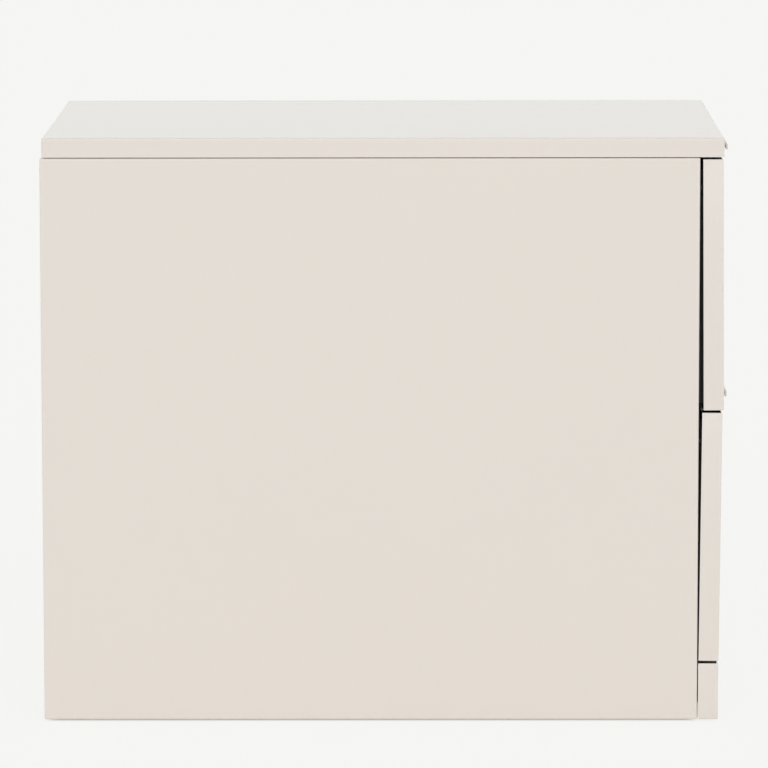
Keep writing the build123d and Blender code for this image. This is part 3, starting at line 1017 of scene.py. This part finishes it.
@dataclass(frozen=True)
class DrawerPlace:
    """A drawer's place: the upper edge of the plane behind its front, the front's height and lean."""

    name: str
    edge: Vector
    height: float
    lean: float
    slide: float

    @classmethod
    def measured(cls, name: str, lean: float, layout: Layout) -> "DrawerPlace":
        """Read a drawer's place off its CAD nodes' boxes.

        Args:
            name: The drawer's name.
            lean: How far its front leans, in degrees; a positive lean stands the lower edge further out.
            layout: The cabinet's layout.

        Returns:
            The place.
        """
        angle = math.radians(lean)
        low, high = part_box(f"{name}_drawer_front")
        tilt = (layout.front_thickness - BEND) * math.sin(angle)
        height = (high.z - low.z - abs(tilt)) / math.cos(angle)
        edge = Vector((0.0, high.y + min(0.0, height * math.sin(angle)), high.z - max(0.0, tilt)))
        rail_low, rail_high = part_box(f"{name}_right_outer_rail")
        return cls(name, edge, height, lean, (rail_low.z + rail_high.z) / 2)

    @property
    def outwards(self) -> Vector:
        """Direction that the front's face looks."""
        angle = math.radians(self.lean)
        return Vector((0.0, -math.cos(angle), math.sin(angle)))

    @property
    def up(self) -> Vector:
        """Direction up the front's face."""
        return self.outwards.cross(ACROSS)


@dataclass
class CaseShell:
    """The case: folded side panels, top and kick plate, beaded back, framing, screws and bumpers."""

    layout: Layout
    places: Sequence[DrawerPlace]
    folder: PanFolder
    fasteners: Fasteners
    top_lip: float = 6.0 * MM
    kick_lip: float = 13.5 * MM
    bead_width: float = 14.0 * MM
    bead_depth: float = 2.5 * MM
    bead_margin: float = 70.0 * MM
    bead_count: int = 3
    bead_slope: float = 0.62
    bead_steps: int = 8
    bead_facets: int = 16
    anchor_spread: float = 160.0 * MM
    anchor_radius: float = 3.5 * MM
    anchor_drop: float = 40.0 * MM
    anchor_facets: int = 32
    row_spread: float = 8.0 * MM
    bumper_drop: float = 30.0 * MM
    bumper_play: float = 0.4 * MM
    body: str = "cabinet"

    def build(self) -> None:
        """Build every piece of the case."""
        for name, side in SIDES.items():
            self.fold(f"{name}_side", f"{name}_side_panel", BACK, Vector((side, 0.0, 0.0)))
        self.fold("top_pan", "top_panel", ACROSS, UP, self.top_lip)
        self.fold("kick_pan", "kick_plate", ACROSS, FRONT, self.kick_lip, [self.kick_opening()])
        self.build_back()
        self.build_screws()
        self.build_bumpers()
        self.dress()

    def fold(
        self,
        name: str,
        node: str,
        across: Vector,
        outwards: Vector,
        lip: float = 0.0,
        cuts: Sequence[Block] = (),
    ) -> None:
        """Fold a pan that fills its CAD node's box.

        Args:
            name: The piece's name.
            node: The node.
            across: Direction of the pan's width.
            outwards: Direction that its face looks.
            lip: How far its lips reach in.
            cuts: Blocks cut off it.
        """
        low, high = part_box(node)
        size = [abs((high - low).dot(axis)) for axis in (across, outwards.cross(across), outwards)]
        origin = (low + high) / 2 - outwards * (size[2] / 2)
        pan = self.folder.fold(name, size, origin, across, outwards, lip, cuts)
        settle(pan, self.body, Coating.CASE, node)

    def kick_opening(self) -> Block:
        """The block that opens the kick plate above the base pan's flange.

        Returns:
            Its corners, from the middle of the plate's rear plane.
        """
        low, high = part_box("kick_plate")
        half, deep = self.layout.half_width - BEND, self.layout.front_thickness
        flange_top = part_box("base_pan")[1].z - (low.z + high.z) / 2
        return Vector((-half, flange_top, -deep)), Vector((half, high.z - low.z, deep - BEND))

    def bead_section(self) -> list[tuple[float, float]]:
        """Section of a pressed bead, from its outline to its flat bottom.

        Returns:
            How far in each step is, and how deep.
        """
        reach = self.bead_slope * self.bead_width / 2
        shares = [n / self.bead_steps for n in range(self.bead_steps + 1)]
        return [(reach * s, self.bead_depth * s * s * (3 - 2 * s)) for s in shares]

    def build_back(self) -> None:
        """Press the back panel: a sheet with rounded beads and two anchor holes."""
        low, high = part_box("back_panel")
        outer = self.layout.side_back - SHEET
        half, bottom, top = high.x, low.z, high.z
        work = bmesh.new()

        def ring(points: Iterable[tuple[float, float]], depth: float = 0.0) -> list[bmesh.types.BMVert]:
            """Points in the sheet's plane, pressed in by a depth."""
            return [work.verts.new((x, outer - depth, z)) for x, z in points]

        def chain(loop: list[bmesh.types.BMVert]) -> list[bmesh.types.BMEdge]:
            """The closed chain of edges along a ring."""
            pairs = zip(loop, loop[1:] + loop[:1])
            return [work.edges.get(pair) or work.edges.new(pair) for pair in pairs]

        def stadium(height: float, inset: float) -> list[tuple[float, float]]:
            """Draw a bead's outline.

            Args:
                height: Where its middle runs.
                inset: How far the outline is set in.

            Returns:
                Its points, across and up.
            """
            reach = half - self.bead_margin - self.bead_width / 2
            radius = self.bead_width / 2 - inset
            turns = [math.pi * n / self.bead_facets for n in range(self.bead_facets + 1)]
            ends = [(reach + radius * math.sin(t), radius * math.cos(t)) for t in turns]
            return [(way * x, height + way * z) for way in (1, -1) for x, z in ends]

        open_edges = chain(ring([(-half, bottom), (half, bottom), (half, top), (-half, top)]))
        pitch = (top - bottom) / (self.bead_count + 1)
        for number in range(self.bead_count):
            height = bottom + (number + 1) * pitch
            loops = [ring(stadium(height, inset), depth) for inset, depth in self.bead_section()]
            for first, second in zip(loops, loops[1:]):
                for n in range(len(first)):
                    work.faces.new((first[n - 1], first[n], second[n], second[n - 1]))
            work.faces.new(loops[-1])
            open_edges += chain(loops[0])
        turns = [2 * math.pi * n / self.anchor_facets for n in range(self.anchor_facets)]
        circle = [(self.anchor_radius * math.cos(t), self.anchor_radius * math.sin(t)) for t in turns]
        for side in SIDES.values():
            centre = Vector((side * self.anchor_spread, top - self.anchor_drop))
            open_edges += chain(ring(centre + Vector(point) for point in circle))
        bmesh.ops.triangle_fill(work, edges=open_edges, use_beauty=True, use_dissolve=False, normal=(0, 1, 0))
        bmesh.ops.recalc_face_normals(work, faces=work.faces[:])
        if sum(face.normal.y * face.calc_area() for face in work.faces) < 0:
            bmesh.ops.reverse_faces(work, faces=work.faces[:])
        sheet = raised(work, "back_sheet", Coating.CASE)
        thicken = sheet.modifiers.new("sheet", "SOLIDIFY")
        thicken.thickness, thicken.offset = SHEET, -1.0
        settle(solid(sheet), self.body, Coating.CASE, "back_panel")

    def drive(self, label: str, seats: Sequence[Vector], headings: Sequence[Vector], held: float) -> None:
        """Drive the case's screws of one kind."""
        piece = self.fasteners.screw(f"{label}_screw_heads", seats, headings, held)
        settle(piece, self.body, Coating.FASTENER, f"{label}_screws")

    def build_screws(self) -> None:
        """Drive the screws of the slides, the top and the kick plate."""
        lay, rim = self.layout, self.fasteners.head_radius
        low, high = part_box("slide_screws")
        spots = [
            (side, y, place.slide + row * self.row_spread)
            for place in self.places
            for side in SIDES.values()
            for y in (low.y + rim, high.y - rim)
            for row in (-1, 1)
        ]
        seats = [Vector((side * (lay.slide_mount - RAIL_SHEET), y, z)) for side, y, z in spots]
        self.drive("slide", seats, [Vector((-side, 0.0, 0.0)) for side, _, _ in spots], RAIL_SHEET + SHEET)
        low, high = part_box("top_screws")
        rows = (low.y + rim, high.y - rim)
        seats = [Vector((x, y, lay.side_top - SHEET)) for x in (low.x + rim, high.x - rim) for y in rows]
        self.drive("top", seats, [DOWN] * len(seats), 2 * SHEET)
        low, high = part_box("kick_screws")
        level, face = (low.z + high.z) / 2, lay.kick_back + RAIL_SHEET
        seats = [Vector((x, face, level)) for x in (low.x + rim, 0.0, high.x - rim)]
        self.drive("kick", seats, [BACK] * len(seats), RAIL_SHEET + SHEET)

    def build_bumpers(self) -> None:
        """Stick a rubber bumper to each front return for each drawer."""
        lay, places, heights = self.layout, [], []
        span = self.fasteners.bumper_radius
        for place in self.places:
            z = place.edge.z - self.bumper_drop
            slope = place.up.y / place.up.z
            nearest = max(place.edge.y + (z + s * span - place.edge.z) * slope for s in (-1, 1))
            for side in SIDES.values():
                places.append(Vector((side * (lay.half_width - lay.return_width / 2), lay.side_front, z)))
                heights.append(lay.side_front - nearest - self.bumper_play)
        piece = self.fasteners.bumper("front_bumpers", places, heights)
        settle(piece, self.body, Coating.RUBBER, "drawer_bumpers")

    def dress(self) -> None:
        """Finish the framing that keeps its CAD shape."""
        Coating.INSIDE.dress("top_front_channel", "top_rear_channel", "base_pan", "middle_rail")
        Coating.INSIDE.dress(*[f"{side}_{end}_upright" for side in SIDES for end in ENDS])
        Coating.SLIDE.dress(*[f"{place.name}_{side}_outer_rail" for place in self.places for side in SIDES])
        Coating.FASTENER.dress("foot_nuts")


@dataclass
class DrawerUnit:
    """One drawer: a folded front on a liner, a plate pull, the box and its inner rails."""

    place: DrawerPlace
    layout: Layout
    folder: PanFolder
    fasteners: Fasteners
    pull_width: float = 132.0 * MM
    pull_projection: float = 13.0 * MM
    pull_lip: float = 6.5 * MM
    pull_hem: float = 2.0 * MM
    pull_sheet: float = 1.2 * MM
    pull_seat: float = 16.0 * MM
    pull_bend: float = 0.4 * MM
    pull_edge: float = 0.28 * MM
    pull_steps: int = 6
    rivet_spread: float = 50.0 * MM
    rim_notch: float = 28.0 * MM
    screw_pitch: float = 220.0 * MM
    slide_width: float = 12.7 * MM
    box_sheet: float = 0.8 * MM

    @property
    def body(self) -> str:
        """The body that the drawer moves as."""
        return f"{self.place.name}_drawer"

    def build(self) -> None:
        """Build every piece of the drawer."""
        lay, place, body = self.layout, self.place, self.body
        size = (2 * lay.half_width, place.height, lay.front_thickness)
        origin = place.edge - place.up * (place.height / 2)
        axes = (ACROSS, place.outwards)
        front = self.folder.fold(f"{body}_front_pan", size, origin, *axes, cuts=self.rim_notches())
        settle(front, body, Coating.CASE, f"{body}_front")
        settle(self.bend_pull(), body, Coating.PULL, f"{body}_pull")
        self.build_fasteners()
        self.dress()

    def rim_notches(self) -> list[Block]:
        """The blocks that notch the front's upper rim at both ends.

        Returns:
            Their corners, from the middle of the front's rear plane.
        """
        end = self.layout.half_width - BEND
        high, deep = self.place.height, self.layout.front_thickness
        return [
            (Vector((low, high / 2 - BEND, -deep)), Vector((low + self.rim_notch, high, deep - BEND)))
            for low in (-end, end - self.rim_notch)
        ]

    def pull_section(self) -> list[tuple[float, float]]:
        """Section of the pull: distance out from the plane behind the front, and height over its edge.

        Returns:
            The section's corners and bends, in order.
        """
        back = self.layout.front_thickness - self.pull_seat
        tip = self.layout.front_thickness + self.pull_projection
        inner, outer, hem = self.pull_bend, self.pull_bend + self.pull_sheet, self.pull_hem / 2
        bottom = self.pull_sheet - self.pull_lip
        angles = [QUARTER * n / self.pull_steps for n in range(self.pull_steps + 1)]
        turns = [(math.sin(angle), math.cos(angle)) for angle in angles]
        section = [(back, 0.0), (back, self.pull_sheet)]
        section += [(tip + outer * (s - 1), self.pull_sheet + outer * (c - 1)) for s, c in turns]
        section += [(tip + hem * (c - 1), bottom + hem * (1 - s)) for s, c in turns]
        section += [(tip - hem * (1 + s), bottom + hem * (1 - c)) for s, c in turns[1:]]
        section += [(tip - self.pull_hem - inner * (1 - c), -inner * (1 - s)) for s, c in turns]
        return section

    def bend_pull(self) -> Piece:
        """Bend the pull from a strip and soften its cut edges.

        Returns:
            The pull.
        """
        edge, out, up = self.place.edge, self.place.outwards, self.place.up
        section = [edge + out * far + up * high for far, high in self.pull_section()]
        work = bmesh.new()
        shifts = [ACROSS * (side * self.pull_width / 2) for side in SIDES.values()]
        left, right = ([work.verts.new(point + shift) for point in section] for shift in shifts)
        for n in range(len(section)):
            work.faces.new((left[n - 1], left[n], right[n], right[n - 1]))
        for loop in (left, right):
            work.faces.new(loop)
        bmesh.ops.recalc_face_normals(work, faces=work.faces[:])
        pull = raised(work, f"{self.body}_pull_plate", Coating.PULL)
        soften = pull.modifiers.new("edges", "BEVEL")
        soften.width, soften.segments = self.pull_edge, 3
        soften.limit_method, soften.angle_limit = "ANGLE", math.radians(50)
        return solid(pull)

    def build_fasteners(self) -> None:
        """Set the pull's rivets and drive the inner rails' screws."""
        lay, place, body = self.layout, self.place, self.body
        steps = (-1, 0, 1)
        seat = place.edge + place.outwards * (lay.front_thickness - self.pull_seat / 2) - place.up * SHEET
        spots = [seat + ACROSS * (step * self.rivet_spread) for step in steps]
        rivets = self.fasteners.rivet(f"{body}_rivet_heads", spots, place.up)
        settle(rivets, body, Coating.PULL, f"{body}_pull_rivets")
        x = lay.slide_mount - self.slide_width + RAIL_SHEET
        pairs = [(side, step) for side in SIDES.values() for step in steps]
        rows = [(side * x, lay.slide_middle + n * self.screw_pitch) for side, n in pairs]
        seats = [Vector((*row, place.slide)) for row in rows]
        held = RAIL_SHEET + self.box_sheet
        headings = [Vector((side, 0.0, 0.0)) for side, _ in pairs]
        screws = self.fasteners.screw(f"{body}_screw_heads", seats, headings, held)
        settle(screws, body, Coating.FASTENER, f"{body}_rail_screws")

    def dress(self) -> None:
        """Finish the box, which keeps its CAD shape."""
        Coating.DRAWER.dress(*[f"{self.body}_{part}" for part in ("liner", "floor", "back_wall")])
        for side in SIDES:
            Coating.DRAWER.dress(f"{self.body}_{side}_wall", f"{self.body}_{side}_file_rail")
            Coating.SLIDE.dress(f"{self.body}_{side}_inner_rail")


@dataclass
class SlideRun:
    """The carriage rails and ball cages between the case and one drawer."""

    place: DrawerPlace
    layout: Layout
    ball: float = 3.2 * MM
    ball_play: float = 0.08 * MM
    ball_count: int = 5
    cage_length: float = 260.0 * MM
    cage_width: float = 4.0 * MM
    cage_sheet: float = 0.8 * MM
    collar_lift: float = 0.25 * MM
    strip_inset: float = 0.4 * MM
    tab_length: float = 3.0 * MM
    tab_over: float = 0.5 * MM
    rows: tuple[tuple[str, float, float], ...] = (
        ("outer", 19.95 * MM, 7.25 * MM),
        ("inner", 15.35 * MM, 8.45 * MM),
    )

    def write(self) -> Recipe:
        """Write the tree of a ball cage: strips on the points marked so, balls in collars on the others.

        Returns:
            The recipe.
        """
        recipe = Recipe("ball_cage")
        web = recipe.web
        ball, length, width, sheet = recipe.sizes(self, "ball", "cage_length", "cage_width", "cage_sheet")
        sockets = {0: recipe.carrier, 1: recipe.attribute("strip", "FLOAT").above(0.5)}
        on_strips, on_balls = web.outs("GeometryNodeSeparateGeometry", sockets, domain="POINT")
        sphere = web.out("GeometryNodeMeshUVSphere", {"Segments": 20, "Rings": 12, "Radius": ball * 0.5})
        rim, bore, lift = width * 0.5, ball * 0.5 + self.ball_play, sheet * 0.5 + self.collar_lift
        ring = [(bore, lift * -1.0), (rim, lift * -0.8), (rim, lift * 0.8), (bore, lift), (bore, lift * -1.0)]
        collar = recipe.marked(recipe.turned(20, ring), "plated")
        strip = recipe.block(width - self.strip_inset, length, sheet)
        tab = recipe.block(width, self.tab_length, sheet + self.tab_over)
        reach = length * 0.5 - self.tab_length / 2
        ends = [recipe.moved(tab, web.vector(0.0, reach * way, 0.0)) for way in (-1.0, 1.0)]
        bar = recipe.marked(recipe.joined(strip, *ends), "plated")
        balls = recipe.spread(on_balls, recipe.joined(sphere, collar))
        steel, plating = recipe.finish(Coating.BALL), recipe.finish(Coating.SLIDE)
        return recipe.serve(recipe.joined(balls, recipe.spread(on_strips, bar)), steel, plated=plating)

    def build(self) -> None:
        """Build the ball cages and finish the carriage rails."""
        recipe, name = self.write(), self.place.name
        pitch = self.cage_length / self.ball_count
        steps = [(n - (self.ball_count - 1) / 2) * pitch for n in range(self.ball_count)]
        for label, offset, across in self.rows:
            points, kinds = [], []
            for side in SIDES.values():
                for row in (-1, 1):
                    x = side * (self.layout.slide_mount - across)
                    middle = Vector((x, self.layout.slide_middle, self.place.slide + row * offset))
                    points += [middle + BACK * step for step in steps] + [middle]
                    kinds += [0.0] * len(steps) + [1.0]
            cage = recipe.make(f"{name}_{label}_cage_balls", points_mesh(points, strip=kinds))
            settle(cage, f"{name}_{label}_cages", Coating.BALL, f"{name}_{label}_ball_cages")
        Coating.SLIDE.dress(*[f"{name}_{side}_carriage_rail" for side in SIDES])


@dataclass
class LevellingFeet:
    """Four glides: a fluted pad moulded on a threaded stud."""

    pad_radius: float = 15.0 * MM
    pad_height: float = 5.0 * MM
    chamfer: float = 1.0 * MM
    stud_radius: float = 4.0 * MM
    stud_length: float = 30.0 * MM
    stud_sunk: float = 0.6 * MM
    pitch: float = 1.25 * MM
    flutes: int = 12
    flute_depth: float = 0.055
    around: int = 72
    thread_around: int = 24
    thread_rows: int = 170

    def write(self) -> Recipe:
        """Write the tree of one glide.

        Returns:
            The recipe.
        """
        recipe = Recipe("levelling_foot")
        web = recipe.web
        radius, tall, chamfer = recipe.sizes(self, "pad_radius", "pad_height", "chamfer")
        stud, length, pitch = recipe.sizes(self, "stud_radius", "stud_length", "pitch")
        origin = recipe.given("origin", "Vector")
        seat = tall - self.stud_sunk
        section = [(0.0, 0.0), (radius * 0.93, 0.0), (radius, 0.6 * MM), (radius, tall - chamfer)]
        section += [(radius - chamfer * 0.4, tall - chamfer * 0.3), (radius - chamfer, tall)]
        section += [(stud * 1.9, tall - 0.02 * MM), (stud * 1.7, seat), (0.0, seat)]
        fluted = [0.0, 1.0, 1.0, 1.0, 1.0, 0.6, 0.0, 0.0, 0.0]

        def flute(angle: Expr, row: Expr) -> Expr:
            """Share of the radius that the grip flutes leave."""
            wave = (angle * self.flutes).math("COSINE").ramp(0.35, 1.0)
            return 1.0 - wave * recipe.pick(row, "FLOAT", fluted) * self.flute_depth

        def place(column: Expr, row: Expr) -> Expr:
            """Place a point of the stud's thread.

            Args:
                column: Its number around.
                row: Its number along the section.

            Returns:
                The point.
            """
            angle = column * (2 * math.pi / self.thread_around)
            run = ((row - 1.0) / (self.thread_rows - 3)).greatest(0.0).least(1.0)
            height = seat + run * (length + self.stud_sunk)
            turn = (height / pitch - column / self.thread_around).math("FRACT")
            crest = 1.0 - (turn * 2.0 - 1.0).math("ABSOLUTE")
            tip = 1.0 - run.ramp(0.965, 1.0) * 0.2
            kept = row.above(0.5) * (self.thread_rows - 1.5 - row).above(0.0)
            wide = stud * (0.84 + crest * 0.16) * tip * kept
            return web.vector(wide * angle.math("COSINE"), wide * angle.math("SINE"), height)

        pad = recipe.turned(self.around, section, flute)
        thread = recipe.closed(recipe.wrapped(self.thread_around + 1, self.thread_rows, place))
        glide = recipe.moved(recipe.joined(pad, recipe.marked(thread, "plated")), origin)
        polymer, plating = recipe.finish(Coating.POLYMER), recipe.finish(Coating.FASTENER)
        return recipe.serve(glide, polymer, plated=plating)

    def build(self) -> None:
        """Build the four glides, each on its own body."""
        recipe = self.write()
        for node in [f"{side}_{end}_foot" for side in SIDES for end in ENDS]:
            low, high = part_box(node)
            origin = ((low.x + high.x) / 2, (low.y + high.y) / 2, low.z)
            settle(recipe.make(f"{node}_glide", origin=origin), node, Coating.POLYMER, node)


@dataclass
class Studio:
    """Floor, soft light and the camera at the photograph's viewpoint."""

    layout: Layout
    backdrop: Colour = linear(246, 246, 244)
    floor_colour: Colour = (0.92, 0.92, 0.905, 1.0)
    floor_shown: Colour = linear(250, 250, 248)
    floor_reach: float = 40.0
    floor_drop: float = 0.2 * MM
    shadow_share: float = 0.14
    shade_depth: float = 20.0 * MM
    walls: float = 1.44
    ceiling: float = 0.28
    key: float = 0.64
    key_spread: float = math.radians(75)
    key_from: tuple[float, float, float] = (-1.0, -0.2, 0.35)
    camera_at: tuple[float, float, float] = (-5.8977, -0.0286, 1.1332)
    pitch: float = math.radians(7.8165)
    yaw: float = math.radians(0.3335)
    roll: float = math.radians(-0.0858)
    focal_pixels: float = 5535.6
    image_pixels: int = 768

    def build(self) -> None:
        """Set up light, floor and camera."""
        bpy.context.scene.view_settings.view_transform = "Standard"
        self.light()
        self.lay_floor()
        self.aim()

    @staticmethod
    def seen(web: NodeWeb) -> Expr:
        """One for rays that show a surface: from the camera, in a gloss or through glass.

        Args:
            web: The tree that asks.

        Returns:
            The share.
        """
        path = web.node("ShaderNodeLightPath")
        rays = ("Is Camera Ray", "Is Glossy Ray", "Is Transmission Ray")
        camera, glossy, through = (Expr(web, path.outputs[ray]) for ray in rays)
        return camera.greatest(glossy).greatest(through)

    def light(self) -> None:
        """A white room, dimmer overhead, and one wide key lamp."""
        world = bpy.context.scene.world = bpy.data.worlds.new("studio")
        web, white = NodeWeb.of(world), (1.0, 1.0, 1.0, 1.0)
        glows = ((white, self.walls), (white, self.ceiling), (self.backdrop, 1.0))
        wall, ceiling, backdrop = (
            web.out("ShaderNodeBackground", {"Color": colour, "Strength": strength})
            for colour, strength in glows
        )
        overhead = web.split(web.place("Generated"))[2].greatest(0.0)
        room = web.mix(overhead, wall, ceiling)
        web.node("ShaderNodeOutputWorld", {"Surface": web.mix(self.seen(web), room, backdrop)})
        lamp = bpy.data.lights.new("key", "SUN")
        lamp.energy, lamp.angle = self.key, self.key_spread
        shown("key", lamp).rotation_euler = Vector(self.key_from).to_track_quat("Z", "Y").to_euler()

    def lay_floor(self) -> None:
        """A pale floor that shows the backdrop's colour and keeps the shadow."""
        mesh = bpy.data.meshes.new("floor")
        far, level = self.floor_reach, -self.floor_drop
        corners = [(-far, -far, level), (far, -far, level), (far, far, level), (-far, far, level)]
        mesh.from_pydata(corners, [], [(0, 1, 2, 3)])
        made = bpy.data.materials.new("studio_floor")
        web = NodeWeb.of(made)
        matt = web.out("ShaderNodeBsdfDiffuse", {"Color": self.floor_colour})
        glow = web.out("ShaderNodeEmission", {"Color": self.floor_shown, "Strength": 1.0})
        share = self.seen(web) * (1.0 - self.shadow_share) * (1.0 - self.under(web))
        web.node("ShaderNodeOutputMaterial", {"Surface": web.mix(share, matt, glow)})
        mesh.materials.append(made)
        shown("floor", mesh)

    def under(self, web: NodeWeb) -> Expr:
        """One on the floor under the case, where the shadow shows in full, nought in the open.

        Args:
            web: The floor material's tree.

        Returns:
            The share.
        """
        lay = self.layout
        x, y, _ = web.split(web.place())
        across = lay.half_width - x.math("ABSOLUTE")
        along = (lay.side_back - y).least(y - lay.kick_back)
        return across.least(along).ramp(0.0, self.shade_depth)

    def aim(self) -> None:
        """Place the camera."""
        lens = bpy.data.cameras.new("camera")
        lens.sensor_fit = "HORIZONTAL"
        lens.sensor_width = 36.0
        lens.lens = self.focal_pixels / self.image_pixels * lens.sensor_width
        lens.clip_end = 100.0
        level, fall = math.cos(self.pitch), math.sin(self.pitch)
        forward = Vector((level * math.cos(self.yaw), level * math.sin(self.yaw), -fall))
        right = Vector((math.sin(self.yaw), -math.cos(self.yaw), 0.0))
        rolled = right * math.cos(self.roll) + right.cross(forward) * math.sin(self.roll)
        camera = bpy.context.scene.camera = shown("camera", lens)
        camera.matrix_world = Matrix((rolled, rolled.cross(forward), -forward)).transposed().to_4x4()
        camera.location = self.camera_at


def main() -> None:
    """Build the studio and every sub-assembly of the cabinet in order."""
    logging.basicConfig(level=logging.INFO, format="%(name)s: %(message)s")
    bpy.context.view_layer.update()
    layout, folder, fasteners = Layout.measured(), PanFolder(), Fasteners()
    places = [DrawerPlace.measured(name, lean, layout) for name, lean in LEANS.items()]
    Studio(layout).build()
    CaseShell(layout, places, folder, fasteners).build()
    for place in places:
        DrawerUnit(place, layout, folder, fasteners).build()
        SlideRun(place, layout).build()
    LevellingFeet().build()


if __name__ == "__main__":
    main()
